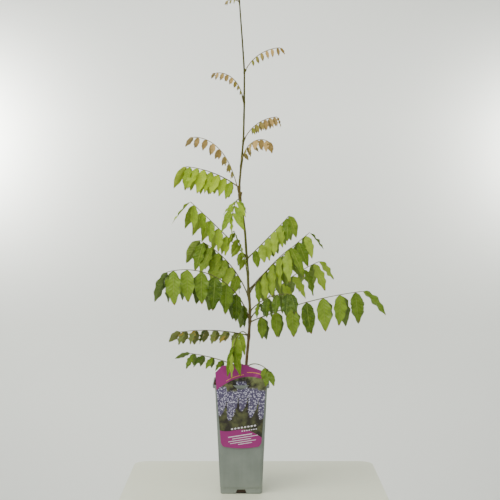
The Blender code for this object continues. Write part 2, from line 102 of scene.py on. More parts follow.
def add_node(tree, kind, *sockets, out=0, **named):
    """Adds one shader node and gives the output asked for.

    A kind in capitals is the operation of a Math node, and a Mix node mixes colours. Sockets fill
    the node's open inputs in order. A name with a capital is an input's, and any other a setting's.
    An input is linked where it is given an output, and else is set to the number or hex colour.
    """
    made = tree.nodes.new("ShaderNode" + ("Math" if kind.isupper() else kind))
    if kind.isupper():
        made.operation = kind
    if kind == "Mix":
        made.data_type = "RGBA"
    inputs = list(zip([socket for socket in made.inputs if socket.enabled], sockets))
    for name, value in named.items():
        if name[0].isupper():
            inputs.append((made.inputs[name], value))
        else:
            setattr(made, name, value)
    for socket, value in inputs:
        if isinstance(value, bpy.types.NodeSocket):
            tree.links.new(value, socket)
        else:
            socket.default_value = linear(value) if isinstance(value, str) else value
    return made.outputs[out] if isinstance(out, str) else [o for o in made.outputs if o.enabled][out]


def plain_material(name, roughness, specular):
    """A new material, its shader's inputs, and what adds and what links its nodes."""
    made = bpy.data.materials.new(name)
    made.use_nodes = True
    shader = made.node_tree.nodes["Principled BSDF"].inputs
    shader["Roughness"].default_value = roughness
    shader["Specular IOR Level"].default_value = specular
    return made, shader, partial(add_node, made.node_tree), made.node_tree.links.new


def put_mesh(name, points, faces, finish, places=None, tones=None, sharp_deg=None):
    """A mesh object from arrays; places are a UV pair for each point, tones a number for each point."""
    mesh = bpy.data.meshes.new(name)
    faces = faces.tolist() if isinstance(faces, np.ndarray) else faces
    mesh.from_pydata(np.asarray(points, float).reshape(-1, 3), [], faces)
    if places is not None:
        corners = np.empty(len(mesh.loops), np.int32)
        mesh.loops.foreach_get("vertex_index", corners)
        layer = mesh.uv_layers.new(name="places")
        layer.data.foreach_set("uv", np.asarray(places, np.float32).reshape(-1, 2)[corners].ravel())
    if tones is not None:
        layer = mesh.attributes.new("tone", "FLOAT", "POINT")
        layer.data.foreach_set("value", np.asarray(tones, np.float32).ravel())
    mesh.shade_smooth()
    if sharp_deg:
        mesh.set_sharp_from_angle(angle=math.radians(sharp_deg))
    mesh.materials.append(finish)
    made = bpy.data.objects.new(name, mesh)
    bpy.context.scene.collection.objects.link(made)
    return made


def grid_faces(rows, columns, round_trip=False):
    """Quads of a grid of rows by columns points; a round trip joins the last column to the first."""
    r, c = np.arange(rows - 1)[:, None], np.arange(columns if round_trip else columns - 1)[None]
    after = (c + 1) % columns
    quads = [r * columns + c, r * columns + after, (r + 1) * columns + after, (r + 1) * columns + c]
    return np.stack(np.broadcast_arrays(*quads), -1).reshape(-1, 4)


def lofted(rings):
    """Points and faces of a closed skin through rings (n, k, 3), capped at both ends."""
    n, k = rings.shape[:2]
    faces = grid_faces(n, k, round_trip=True).tolist()
    faces += [list(range(k))[::-1], list(range((n - 1) * k, n * k))]
    return rings.reshape(-1, 3), faces


def rounded_square(width, corner, steps=9, straight=7):
    """Points (k, 2) round a square with rounded corners: each side's straight run, then its arc."""
    half = width / 2 - corner
    angles = np.linspace(0, math.pi / 2, steps + 1)
    arc = np.stack([half + corner * np.cos(angles), half + corner * np.sin(angles)], 1)
    run = np.stack([np.full(straight, width / 2), np.linspace(-half, half, straight + 1)[:-1]], 1)
    side = np.concatenate([run, arc[:-1] if corner else arc[:1]])
    turns = []
    for quarter in range(4):
        c, s = math.cos(quarter * math.pi / 2), math.sin(quarter * math.pi / 2)
        turns.append(side @ np.array([[c, s], [-s, c]]))
    return np.concatenate(turns)


def table_laminate():
    """Melamine laminate: satin and nearly white, with a faint mottle a few millimetres wide."""
    made, shader, add, link = plain_material("table_laminate", 0.45, 0.3)
    mottle = add("TexNoise", add("TexCoord", out="Object"), Scale=120.0, Detail=3.0)
    link(add("Mix", mottle, TABLE_MOTTLE_HEX, TABLE_HEX), shader["Base Color"])
    return made


def backdrop_paper():
    """Seamless paper: matt, with painted shade that makes it a little darker towards its top."""
    made, shader, add, link = plain_material("backdrop_paper", 0.9, 0.3)
    height = add("SeparateXYZ", add("TexCoord", out="Object"), out="Z")
    # Painted shade: the paper's colour is mixed darker towards its top.
    share = add("MapRange", height, 0.95, 1.50)
    link(add("Mix", share, BACKDROP_HEX, BACKDROP_TOP_SHADE_HEX), shader["Base Color"])
    return made


def stage_piece(name, points, faces, finish):
    """A piece of the studio, which isn't part of the object."""
    put_mesh(name, points, faces, finish, sharp_deg=30)


def table_rings():
    """The table top's outline at four levels, drawn in a little at its upper edge."""
    centre = np.array([TABLE_RIGHT - TABLE_WIDTH / 2, TABLE_BACK - TABLE_WIDTH / 2])
    outline = rounded_square(TABLE_WIDTH, TABLE_CORNER)
    levels = ((1.0, -TABLE_THICK), (1.0, -0.003), (0.9988, -0.0008), (0.996, 0.0))
    return np.stack([np.column_stack([centre + outline * s, np.full(len(outline), z)]) for s, z in levels])


def backdrop_sweep(rows=40, columns=3):
    """A sheet that comes forward along the floor, curves and stands up: two powers of the way along it."""
    way = np.linspace(0, 1, rows)
    across = np.linspace(-BACKDROP_REACH, BACKDROP_REACH, columns)
    y = BACKDROP_DISTANCE - np.maximum(0, 0.55 - way) ** 1.5 * 12.0
    z = -1.2 + np.maximum(0, way - 0.35) ** 1.3 * 9.0
    grid = np.broadcast_arrays(across[None], y[:, None], z[:, None])
    return np.stack(grid, -1).reshape(-1, 3), grid_faces(rows, columns)


stage_piece("table_top", *lofted(table_rings()), table_laminate())
stage_piece("backdrop", *backdrop_sweep(), backdrop_paper())

for name, place, aim, width, watts in LAMPS:
    lamp = bpy.data.lights.new(name, "AREA")
    lamp.shape = "SQUARE"
    lamp.size = width
    lamp.energy = watts
    lamp_object = bpy.data.objects.new(name, lamp)
    lamp_object.location = place
    lamp_object.rotation_euler = (Vector(aim) - Vector(place)).to_track_quat("-Z", "Y").to_euler()
    lamp_object.visible_camera = False
    bpy.context.scene.collection.objects.link(lamp_object)

world = bpy.data.worlds.new("studio_air")
world.use_nodes = True
world.node_tree.nodes["Background"].inputs["Color"].default_value = linear(AIR_HEX)
world.node_tree.nodes["Background"].inputs["Strength"].default_value = AIR_STRENGTH
bpy.context.scene.world = world


# --- Pot ----------------------------------------------------------------------------------------
# A tall square container, injection moulded thin in recycled grey polypropylene, with a lip for
# the grower's machines to hold and a drain notch in the foot of each side.

POT_HEIGHT = 0.2245
RIM_WIDTH = 0.115
BODY_TOP_WIDTH = 0.1064
BASE_WIDTH = 0.085
RIM_BAND = 0.0075
WALL = 0.0013
FLOOR = 0.0024
CORNER_TOP = 0.011
CORNER_BASE = 0.008
FOOT_ROUND = 0.0015
FOOT_STEP = 0.0004
FOOT_STEP_TOP = 0.0130
NOTCH_HEIGHT = 0.009
NOTCH_FOOT_WIDTH = 0.024
NOTCH_HEAD_WIDTH = 0.016
NOTCH_DEPTH = 0.011
POT_HEX = "#868D84"
POT_DUST_HEX = "#A3A698"
POT_SHADE_HEX = "#767D75"


def body_width(z):
    """The pot body's outer width: a straight taper from base to top."""
    return BASE_WIDTH + (BODY_TOP_WIDTH - BASE_WIDTH) * z / POT_HEIGHT


def corner_radius(z):
    """The pot body's corner radius, growing with height."""
    return CORNER_BASE + (CORNER_TOP - CORNER_BASE) * z / POT_HEIGHT


def level_ring(width, corner, z):
    """The points (k, 3) of a rounded square at one height."""
    flat = rounded_square(width, corner)
    return np.column_stack([flat, np.full(len(flat), z)])


def moulded_polypropylene():
    """Matte grey recycled plastic: faint cloudy flow, fine moulded grain, dust low down."""
    made, shader, add, link = plain_material("moulded_polypropylene", 0.6, 0.22)
    place = add("TexCoord", out="Object")
    cloud = add("TexNoise", place, Scale=28.0, Detail=4.0)
    tall = add("Mapping", place, Scale=(160.0, 160.0, 7.0))
    flow = add("TexNoise", tall, Scale=1.0, Detail=3.0)
    shade = add("MapRange", add("MULTIPLY_ADD", flow, 0.35, cloud), 0.42, 0.93)
    colour = add("Mix", shade, POT_SHADE_HEX, POT_HEX)
    low = add("MapRange", add("SeparateXYZ", place, out="Z"), 0.030, 0.0, 0.0, 0.35)
    dust = add("MULTIPLY", low, add("TexNoise", place, Scale=420.0, Detail=2.0))
    link(add("Mix", dust, colour, POT_DUST_HEX), shader["Base Color"])
    link(add("MapRange", cloud, 0.3, 0.7, 0.52, 0.66), shader["Roughness"])
    grain = add("TexNoise", place, Scale=900.0, Detail=1.0)
    relief = add("MULTIPLY_ADD", flow, 0.3, grain)
    link(add("Bump", Strength=0.25, Distance=0.0004, Height=relief), shader["Normal"])
    return made


def cutter(name, rings, finish):
    """A closed mesh through rings, to cut with: its faces are turned outwards."""
    made = put_mesh(name, *lofted(rings), finish)
    turned = bmesh.new()
    turned.from_mesh(made.data)
    bmesh.ops.recalc_face_normals(turned, faces=turned.faces)
    turned.to_mesh(made.data)
    turned.free()
    return made


def difference(target, cutters):
    """Cuts closed meshes out of the target by an exact Boolean each, and shades what is left."""
    for tool in cutters:
        cut = target.modifiers.new("cut", "BOOLEAN")
        cut.operation = "DIFFERENCE"
        cut.solver = "EXACT"
        cut.object = tool
    graph = bpy.context.evaluated_depsgraph_get()
    mesh = bpy.data.meshes.new_from_object(target.evaluated_get(graph))
    target.modifiers.clear()
    target.data = mesh
    for tool in cutters:
        bpy.data.objects.remove(tool)
    target.data.shade_smooth()
    target.data.set_sharp_from_angle(angle=math.radians(40))


def pot_rings():
    """Rings up the outside, round the lip, down the inside: width, corner and height of each."""
    under = POT_HEIGHT - RIM_BAND
    lip = (RIM_WIDTH - BODY_TOP_WIDTH) / 2
    rim_corner = CORNER_TOP + lip
    rows = [(BASE_WIDTH - 0.030, CORNER_BASE - 0.004, 0.0)]
    rows.append((BASE_WIDTH - 2 * FOOT_ROUND, CORNER_BASE - FOOT_ROUND, 0.0))
    for a in np.linspace(0, math.pi / 2, 4)[1:]:
        inset = FOOT_ROUND * (1 - math.sin(a))
        width = body_width(FOOT_ROUND) - 2 * inset
        rows.append((width, CORNER_BASE - inset, FOOT_ROUND * (1 - math.cos(a))))
    up_the_wall = (0.004, 0.0085, 0.0125, 0.0132, 0.0140, 0.020, 0.05, 0.09, 0.13, 0.17, 0.20, 0.212)
    for z in (*up_the_wall, under - 0.0006):
        step = FOOT_STEP if z < FOOT_STEP_TOP else 0.0
        rows.append((body_width(z) - 2 * step, corner_radius(z) - step, z))
    rows.append((body_width(under) + 0.0010, corner_radius(under), under))
    for inset, rise in ((0.0007, 0.0001), (0.0002, 0.0004), (0.0, 0.0010)):
        rows.append((RIM_WIDTH - 2 * inset, rim_corner - inset, under + rise))
    for a in np.linspace(0, math.pi, 9):
        inset = WALL / 2 * (1 - math.cos(a))
        rows.append((RIM_WIDTH - 2 * inset, rim_corner - inset, POT_HEIGHT - WALL / 2 * (1 - math.sin(a))))
    ledge = under + WALL
    for inset, rise in ((0.0, 0.0008), (0.0004, 0.0001)):
        rows.append((RIM_WIDTH - 2 * (WALL + inset), rim_corner - WALL - inset, ledge + rise))
    for inset, rise in ((-0.0006, 0.0), (0.0, -0.0006)):
        width = body_width(ledge) - 2 * (WALL + inset)
        rows.append((width, corner_radius(ledge) - WALL - inset, ledge + rise))
    for z in (ledge - 0.002, 0.20, 0.12, 0.05, FLOOR + 0.002):
        rows.append((body_width(z) - 2 * WALL, corner_radius(z) - WALL, z))
    rows.append((body_width(FLOOR) - 2 * WALL - 0.002, CORNER_BASE - WALL - 0.001, FLOOR))
    rows.append((BASE_WIDTH - 0.040, 0.002, FLOOR))
    return np.stack([level_ring(*row) for row in rows])


def notch_cutter(quarter):
    """A trapezoid bar through the wall's foot on one side."""
    foot, head = NOTCH_FOOT_WIDTH / 2, NOTCH_HEAD_WIDTH / 2
    profile = np.array([(-foot, -0.001), (foot, -0.001), (head, NOTCH_HEIGHT), (-head, NOTCH_HEIGHT)])
    a = quarter * math.pi / 2
    rings = []
    for reach in (BASE_WIDTH / 2 - NOTCH_DEPTH, BASE_WIDTH / 2 + 0.004):
        x = reach * math.cos(a) - profile[:, 0] * math.sin(a)
        y = reach * math.sin(a) + profile[:, 0] * math.cos(a)
        rings.append(np.stack([x, y, profile[:, 1]], 1))
    return cutter(f"notch_{quarter}", np.stack(rings), plastic)


plastic = moulded_polypropylene()
pot = put_mesh("nursery_pot", *lofted(pot_rings()), plastic)
difference(pot, [notch_cutter(quarter) for quarter in range(4)])
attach(pot, "root")
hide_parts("pot")


# --- Soil ---------------------------------------------------------------------------------------
# Moist dark peat compost, with crumbs, bark chips and a few white grains of perlite, filled by
# machine to just under the rim.

GAP = 0.0003
SOIL_BELOW_RIM = 0.0085
SOIL_DOME = 0.004
SOIL_CRUMB = 0.0012
CRUMB_COUNT = 1060
LEDGE_CRUMBS = 440
CRUMB_SEED = 11
CRUMB_SMALLEST = 0.0005
CRUMB_LARGEST = 0.0021
SPREAD_HALF = 0.0465
BARK_FROM = 0.62
PERLITE_FROM = 0.945
PEAT_HEX = "#2C231C"
PEAT_LIGHT_HEX = "#4A3B2E"
BARK_HEX = "#6B4E34"
PERLITE_HEX = "#CFCBBE"


def soil_height(x, y):
    """The soil's surface: a low dome with crossed sine waves standing for its lie, as in the CAD."""
    edge = RIM_WIDTH / 2
    dome = np.maximum(SOIL_DOME * (1 - (x * x + y * y) / (edge * edge)), -0.002)
    lie = np.sin(310 * x + 1.3) * np.sin(270 * y + 0.4) + 0.6 * np.sin(520 * (x + y))
    return POT_HEIGHT - SOIL_BELOW_RIM + dome + SOIL_CRUMB * lie


def ripples(points, wave, seed, count=18):
    """Rough relief between about -1 and 1: a sum of sine waves in random directions near one wavelength."""
    draw = np.random.default_rng(seed)
    heading = draw.normal(size=(count, points.shape[-1]))
    heading *= (draw.uniform(0.6, 1.7, count) / np.linalg.norm(heading, axis=1))[:, None]
    phase = draw.uniform(0, 2 * math.pi, count)
    return np.sin(points @ heading.T * (2 * math.pi / wave) + phase).sum(-1) / math.sqrt(count)


def peat_compost():
    """Damp peat: near black and dull, lighter where dry; tone picks crumb, bark or perlite."""
    made, shader, add, link = plain_material("peat_compost", 0.92, 0.25)
    tone = add("Attribute", attribute_name="tone", out="Fac")
    fine = add("TexNoise", add("TexCoord", out="Object"), Scale=520.0, Detail=4.0)
    colour = add("Mix", fine, PEAT_HEX, PEAT_LIGHT_HEX)
    for start, hexcode in ((BARK_FROM, BARK_HEX), (PERLITE_FROM, PERLITE_HEX)):
        colour = add("Mix", add("GREATER_THAN", tone, start), colour, hexcode)
    link(colour, shader["Base Color"])
    link(add("Bump", Strength=0.8, Distance=0.0008, Height=fine), shader["Normal"])
    return made


def soil_body():
    """Rings from the floor up the wall, then inwards over the dome, with crumbly relief."""
    foot = FLOOR + GAP
    edge_z = POT_HEIGHT - SOIL_BELOW_RIM - 0.003
    rings = []
    for z in (foot, 0.03, 0.08, 0.14, 0.19, edge_z):
        rings.append(level_ring(body_width(z) - 2 * WALL - 2 * GAP, corner_radius(z) - WALL - GAP, z))
    for share in np.linspace(0.985, 0.02, 34):
        flat = rings[5][:, :2] * share
        z = soil_height(flat[:, 0], flat[:, 1]) + 0.0007 * ripples(flat, 0.004, 5)
        z -= 0.0022 * max(0.0, (share - 0.93) / 0.055)
        rings.append(np.column_stack([flat, z]))
    return lofted(np.stack(rings))


def crumbs():
    """Lumps on the soil: icosahedra with random reach, squashed, turned and sunk by a third.

    The first ones lie on the ledge inside the rim and darken it, each at a random place along a square
    whose half width is drawn between the ledge's inner and outer edge.
    """
    draw = np.random.default_rng(CRUMB_SEED)
    g = (1 + 5**0.5) / 2
    corners = np.array([(-1, g, 0), (1, g, 0), (-1, -g, 0), (1, -g, 0), (0, -1, g), (0, 1, g),
                        (0, -1, -g), (0, 1, -g), (g, 0, -1), (g, 0, 1), (-g, 0, -1), (-g, 0, 1)]) / 1.9
    faces = np.array([(0, 11, 5), (0, 5, 1), (0, 1, 7), (0, 7, 10), (0, 10, 11), (1, 5, 9), (5, 11, 4),
                      (11, 10, 2), (10, 7, 6), (7, 1, 8), (3, 9, 4), (3, 4, 2), (3, 2, 6), (3, 6, 8),
                      (3, 8, 9), (4, 9, 5), (2, 4, 11), (6, 2, 10), (8, 6, 7), (9, 8, 1)])
    tone = draw.uniform(0, 1, CRUMB_COUNT)
    size = draw.uniform(CRUMB_SMALLEST, CRUMB_LARGEST, CRUMB_COUNT) * np.where(tone > PERLITE_FROM, 0.8, 1.0)
    stretch = np.where((tone > BARK_FROM) & (tone < PERLITE_FROM), 2.2, 1.15)
    spot = draw.uniform(-SPREAD_HALF, SPREAD_HALF, (CRUMB_COUNT, 2))
    level = soil_height(spot[:, 0], spot[:, 1]) + size * 0.25
    ledge_z = POT_HEIGHT - RIM_BAND + WALL
    inner, outer = body_width(ledge_z) / 2 - WALL, RIM_WIDTH / 2 - WALL
    reach = draw.uniform(inner + 0.0006, outer - 0.0012, LEDGE_CRUMBS)
    slide = draw.uniform(-1, 1, LEDGE_CRUMBS) * (reach - 0.006)
    quarter = draw.integers(0, 4, LEDGE_CRUMBS)
    out = reach * np.where(quarter % 2 == 0, 1.0, -1.0)
    spot[:LEDGE_CRUMBS, 0] = np.where(quarter < 2, out, slide)
    spot[:LEDGE_CRUMBS, 1] = np.where(quarter < 2, slide, out)
    level[:LEDGE_CRUMBS] = ledge_z + size[:LEDGE_CRUMBS] * 0.4
    centre = np.column_stack([spot, level])
    shape = corners[None] * draw.uniform(0.72, 1.12, (CRUMB_COUNT, 12, 1)) * size[:, None, None]
    shape[:, :, 0] *= stretch[:, None]
    shape[:, :, 2] *= 0.75
    a = draw.uniform(0, 2 * math.pi, CRUMB_COUNT)[:, None]
    x = shape[:, :, 0] * np.cos(a) - shape[:, :, 1] * np.sin(a)
    y = shape[:, :, 0] * np.sin(a) + shape[:, :, 1] * np.cos(a)
    points = np.stack([x, y, shape[:, :, 2]], -1) + centre[:, None]
    all_faces = faces[None] + 12 * np.arange(CRUMB_COUNT)[:, None, None]
    return points.reshape(-1, 3), all_faces.reshape(-1, 3), np.repeat(tone, 12)


soil_points, soil_faces = soil_body()
crumb_points, crumb_faces, crumb_tones = crumbs()
soil = put_mesh(
    "compost",
    np.concatenate([soil_points, crumb_points]),
    soil_faces + (crumb_faces + len(soil_points)).tolist(),
    peat_compost(),
    tones=np.concatenate([np.zeros(len(soil_points)), crumb_tones]),
    sharp_deg=50,
)
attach(soil, "root")
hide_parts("soil")


# --- Label --------------------------------------------------------------------------------------
# A printed polypropylene card. A curved slit lets its middle pass behind the lip, so that the card
# hangs on the pot. The print is a generic one: a violet-red ground, a leafy window with lilac
# flower chains in a layout of its own, and plain rules and beads in place of words.

CARD = 0.0005
LABEL_TOP_WIDTH = 0.104
LABEL_FOOT_WIDTH = 0.081
LABEL_FOOT_Z = 0.0992
LABEL_SHOULDER_Z = 0.250
LABEL_FOOT_SAG = 0.0045
LABEL_BEND = 0.012
LABEL_OUTLINE = (
    (-0.052, 0.250),
    (-0.038, 0.264),
    (-0.022, 0.265),
    (-0.002, 0.269),
    (0.014, 0.264),
    (0.036, 0.256),
    (0.052, 0.251),
)
SLIT_Z = 0.2329
SLIT_HALF = 0.024
SLIT_SAG = 0.0139
SLIT_OPEN = 0.0030
LOW_ROWS = 40
HIGH_ROWS = 26
PUNCH_X = -0.002
PUNCH_Z = 0.2562
PUNCH_RADIUS = 0.0021
GROUND_HEX = "#962C72"
RULE_YELLOW_HEX = "#E0A040"
RULE_WHITE_HEX = "#E9E2E6"
LEAF_PRINT_HEX = "#7E8450"
LEAF_PRINT_DARK_HEX = "#302C24"
FLOWER_LIGHT_HEX = "#D0CCDE"
FLOWER_DARK_HEX = "#57506A"
CARD_BACK_HEX = "#CFCDC6"
CARD_BACK_LIGHT_HEX = "#DAD8D2"
ARCH_MIDDLE = 0.016
ARCH_TOP = 0.2418
ARCH_BEND = 6.2
WINDOW_FOOT = 0.1285
INK_EDGE = 0.0004
CHAIN_PITCH = 0.021
CHAIN_HALF = 0.0140
CHAIN_FOOT = 0.160
CHAIN_LENGTH = 0.060
RULE_SLOPE = 0.16
# Each rule: its height or its gap over the arch, its thickness, where it starts and ends, its ink.
YELLOW_RULES = (
    (0.0045, 0.0011, -0.030, 0.006, RULE_YELLOW_HEX),
    (0.0085, 0.0014, 0.012, 0.040, RULE_YELLOW_HEX),
)
WHITE_RULES = (
    (0.1215, 0.0016, -0.026, 0.022, RULE_WHITE_HEX),
    (0.1168, 0.0012, -0.018, 0.034, RULE_WHITE_HEX),
    (0.1122, 0.0012, -0.026, 0.020, RULE_WHITE_HEX),
    (0.1078, 0.0012, -0.022, 0.030, RULE_WHITE_HEX),
    (0.1036, 0.0012, -0.006, 0.022, RULE_WHITE_HEX),
)
# Each string of beads: its height, the beads' pitch and height, and where it starts and ends.
BEAD_STRINGS = ((0.1375, 0.0066, 0.0040, -0.0215, 0.0313), (0.1300, 0.0047, 0.0026, 0.0, 0.0329))


def label_edge(z):
    """Half the label's width at height z."""
    share = np.minimum((z - LABEL_FOOT_Z) / (LABEL_SHOULDER_Z - LABEL_FOOT_Z), 1.0)
    return (LABEL_FOOT_WIDTH + (LABEL_TOP_WIDTH - LABEL_FOOT_WIDTH) * share) / 2


def label_top(x):
    """The top edge: straight runs through the outline, eased by averaging over 4 mm."""
    near = x[:, None] + np.linspace(-0.002, 0.002, 9)[None]
    return np.interp(near, [p[0] for p in LABEL_OUTLINE], [p[1] for p in LABEL_OUTLINE]).mean(1)


def slit_dip(x):
    """How far the curved slit dips below its ends: a parabola."""
    return SLIT_SAG * (1 - np.minimum(np.abs(x) / SLIT_HALF, 1.0) ** 2)


def card_plane(z):
    """The card's distance in front of the pot's centre: before the lip, then down along the wall."""
    before_lip = RIM_WIDTH / 2 + GAP + 0.00045
    before_wall = body_width(LABEL_FOOT_Z) / 2 + 0.0009
    share = np.clip((z - LABEL_FOOT_Z) / (POT_HEIGHT - RIM_BAND - LABEL_BEND - LABEL_FOOT_Z), 0.0, 1.0)
    return before_wall + (before_lip - before_wall) * share


def tongue_push(x, z):
    """How far the card over the slit is pushed back to pass behind the rim, fading upwards."""
    push = WALL + 0.0007 + 6 * GAP
    over = np.maximum(z - (SLIT_Z - slit_dip(x)), 0.0)
    inward = np.clip(np.maximum(1 - np.abs(x) / (SLIT_HALF + over * 0.9), 0.0) / 0.32, 0.0, 1.0)
    return push * inward * (1.5 - 0.5 * inward**2) * np.maximum(0.0, 1 - over / 0.060)


def label_sheet():
    """The card's middle sheet: a grid below the slit and one above it, sharing the row beyond its ends.

    Columns follow the card's taper, and the foot sags by a parabola with rounded corners.
    """
    slit_columns = np.linspace(-SLIT_HALF - 0.0005, SLIT_HALF + 0.0005, 50)
    edge_columns = np.linspace(-LABEL_TOP_WIDTH / 2, LABEL_TOP_WIDTH / 2, 81)
    xs = np.unique(np.concatenate([edge_columns, slit_columns]).round(5))
    across = xs / (LABEL_TOP_WIDTH / 2)
    dip = slit_dip(xs)
    split = SLIT_Z - dip
    foot = LABEL_FOOT_Z - LABEL_FOOT_SAG * (1 - across**2)
    foot = foot + 0.007 * np.maximum(0.0, (np.abs(across) - 0.86) / 0.14) ** 2
    up = np.linspace(0, 1, LOW_ROWS)[:, None]
    low = foot[None] + (split - SLIT_OPEN * dip / SLIT_SAG - foot)[None] * up
    up = np.linspace(0, 1, HIGH_ROWS)[:, None] ** 1.2
    high = split[None] + (label_top(xs) - split)[None] * up
    z = np.concatenate([low, high])
    x = across[None] * label_edge(z)
    pushed = np.concatenate([np.zeros_like(low), tongue_push(x[LOW_ROWS:], high)])
    points = np.stack([x, pushed - card_plane(z), z], -1)
    quads = grid_faces(LOW_ROWS + HIGH_ROWS, len(xs))
    quads = quads[quads[:, 0] // len(xs) != LOW_ROWS - 1]
    return points.reshape(-1, 3), quads, np.stack([x, z], -1).reshape(-1, 2)


def printed_card():
    """Offset print on satin plastic card: crisp inks under a thin varnish, drawn in metres from UV."""
    made, shader, add, link = plain_material("printed_card", 0.42, 0.3)
    shader["Coat Weight"].default_value = 0.08
    shader["Coat Roughness"].default_value = 0.25
    uv = add("UVMap", uv_map="places")
    x, z = add("SeparateXYZ", uv, out="X"), add("SeparateXYZ", uv, out="Y")

    # Window: its top is an arch that peaks right of the middle, its foot a wave that climbs right.
    off = add("SUBTRACT", x, ARCH_MIDDLE)
    arch = add("MULTIPLY_ADD", add("MULTIPLY", off, off), -ARCH_BEND, ARCH_TOP)
    wave = add("MULTIPLY", add("SINE", add("MULTIPLY_ADD", x, 62.0, 0.9)), 0.0065)
    foot = add("ADD", add("MULTIPLY_ADD", x, -0.22, WINDOW_FOOT), wave)
    under_arch = add("MapRange", add("SUBTRACT", arch, z), 0.0, INK_EDGE)
    over_foot = add("MapRange", add("SUBTRACT", z, foot), 0.0, INK_EDGE)
    window = add("MULTIPLY", under_arch, over_foot)

    # Leaves: blurred ones in greens and near black, lightest high up.
    leaves = add("TexNoise", uv, Scale=95.0, Detail=5.0)
    shade = add("TexNoise", uv, Scale=24.0, Detail=2.0)
    green = add("MapRange", add("ADD", leaves, shade), 0.86, 1.2)
    high = add("MULTIPLY_ADD", add("MapRange", z, 0.16, 0.24), 0.6, 0.4)
    lit = add("MULTIPLY", green, high)
    picture = add("Mix", lit, LEAF_PRINT_DARK_HEX, LEAF_PRINT_HEX)

    # Chains: one to a lane, swaying, each hung a little higher or lower than the next, tapered to its
    # foot by a power and ragged at its sides, and filled with round lilac florets.
    sway = add("MULTIPLY", add("SINE", add("MULTIPLY", z, 55.0)), 0.0035)
    swayed = add("ADD", add("ADD", x, sway), LABEL_TOP_WIDTH / 2)
    lane = add("PINGPONG", swayed, CHAIN_PITCH / 2)
    lane_off = add("ABSOLUTE", add("SUBTRACT", lane, CHAIN_PITCH / 2))
    row = add("FLOOR", add("DIVIDE", swayed, CHAIN_PITCH))
    lift = add("MULTIPLY", add("SINE", add("MULTIPLY", row, 4.1)), 0.011)
    hung = add("SUBTRACT", z, add("ADD", lift, CHAIN_FOOT))
    along = add("DIVIDE", hung, CHAIN_LENGTH)
    narrowed = add("POWER", add("MAXIMUM", along, 0.0), 0.45)
    taper = add("MULTIPLY", narrowed, CHAIN_HALF)
    ragged = add("MULTIPLY_ADD", add("TexNoise", uv, Scale=300.0, Detail=2.0), 0.008, -0.004)
    beside = add("SUBTRACT", add("ADD", taper, ragged), lane_off)
    in_chain = add("MapRange", beside, 0.0, 0.0012)
    ends = add("MULTIPLY", add("MapRange", along, 1.06, 0.98), add("MapRange", along, 0.0, 0.06))
    chains = add("MULTIPLY", in_chain, ends)
    petal = add("MapRange", add("TexVoronoi", uv, Scale=330.0, Randomness=0.9), 0.62, 0.18)
    hue = add("ADD", add("TexNoise", uv, Scale=130.0, Detail=1.0), 0.5)
    light = add("MapRange", add("MULTIPLY", petal, hue), 0.3, 0.8)
    lilac = add("Mix", light, FLOWER_DARK_HEX, FLOWER_LIGHT_HEX)
    picture = add("Mix", chains, picture, lilac)
    ink = add("Mix", window, GROUND_HEX, picture)

    # Rules: the yellow ones follow the arch above the window, the white ones slope below its foot.
    above = add("SUBTRACT", z, arch)
    level = add("SUBTRACT", z, add("MULTIPLY", x, RULE_SLOPE))
    marks = []
    for line, rules in ((above, YELLOW_RULES), (level, WHITE_RULES)):
        for at, thick, left, right, hexcode in rules:
            apart = add("ABSOLUTE", add("SUBTRACT", line, at))
            marks.append((add("LESS_THAN", apart, thick / 2), left, right, hexcode))

    # Beads: two strings of white ones across the window's foot, each an ellipse at an even pitch.
    for at, pitch, tall, left, right in BEAD_STRINGS:
        step = add("PINGPONG", add("SUBTRACT", x, left), pitch / 2)
        step = add("SUBTRACT", step, pitch / 2)
        fall = add("MULTIPLY", add("SUBTRACT", level, at), pitch / tall * 0.8)
        squares = add("MULTIPLY", step, step), add("MULTIPLY", fall, fall)
        apart = add("SQRT", add("ADD", *squares))
        marks.append((add("LESS_THAN", apart, pitch * 0.34), left, right, RULE_WHITE_HEX))
    for mark, left, right, hexcode in marks:
        span = add("MULTIPLY", add("GREATER_THAN", x, left), add("LESS_THAN", x, right))
        ink = add("Mix", add("MULTIPLY", mark, span), ink, hexcode)
    link(ink, shader["Base Color"])
    return made


def bare_card():
    """The card's unprinted back: off-white plastic with a faint cloudiness and a satin surface."""
    made, shader, add, link = plain_material("bare_card", 0.5, 0.3)
    cloud = add("TexNoise", add("TexCoord", out="Object"), Scale=70.0, Detail=3.0)
    share = add("MapRange", cloud, 0.3, 0.7)
    colour = add("Mix", share, CARD_BACK_HEX, CARD_BACK_LIGHT_HEX)
    link(colour, shader["Base Color"])
    link(add("Bump", Strength=0.2, Distance=0.0002, Height=cloud), shader["Normal"])
    return made


def punch_tool():
    """A round bar through the card where its hole is."""
    angles = np.linspace(0, 2 * math.pi, 33)[:-1]
    x, z = PUNCH_X + PUNCH_RADIUS * np.cos(angles), PUNCH_Z + PUNCH_RADIUS * np.sin(angles)
    rings = [np.stack([x, np.full(len(x), y), z], 1) for y in (-0.070, -0.040)]
    return cutter("punch", np.stack(rings), card_ink)


card_ink = printed_card()
card_points, card_quads, card_places = label_sheet()
label = put_mesh("hanging_label", card_points, card_quads, card_ink, places=card_places)
label.data.materials.append(bare_card())
welded = bmesh.new()
welded.from_mesh(label.data)
bmesh.ops.remove_doubles(welded, verts=welded.verts, dist=2e-5)
welded.to_mesh(label.data)
welded.free()
gauge = label.modifiers.new("gauge", "SOLIDIFY")
gauge.thickness = CARD
gauge.offset = 0.0
gauge.use_even_offset = True
gauge.material_offset = 1
difference(label, [punch_tool()])
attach(label, "root")
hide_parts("label")


# --- Stem ---------------------------------------------------------------------------------------
# One twining shoot: brown and woody at the foot, olive and smooth higher up, with a swollen
# red-brown joint where an older stem was pruned, and a leaf cushion under each leaf.

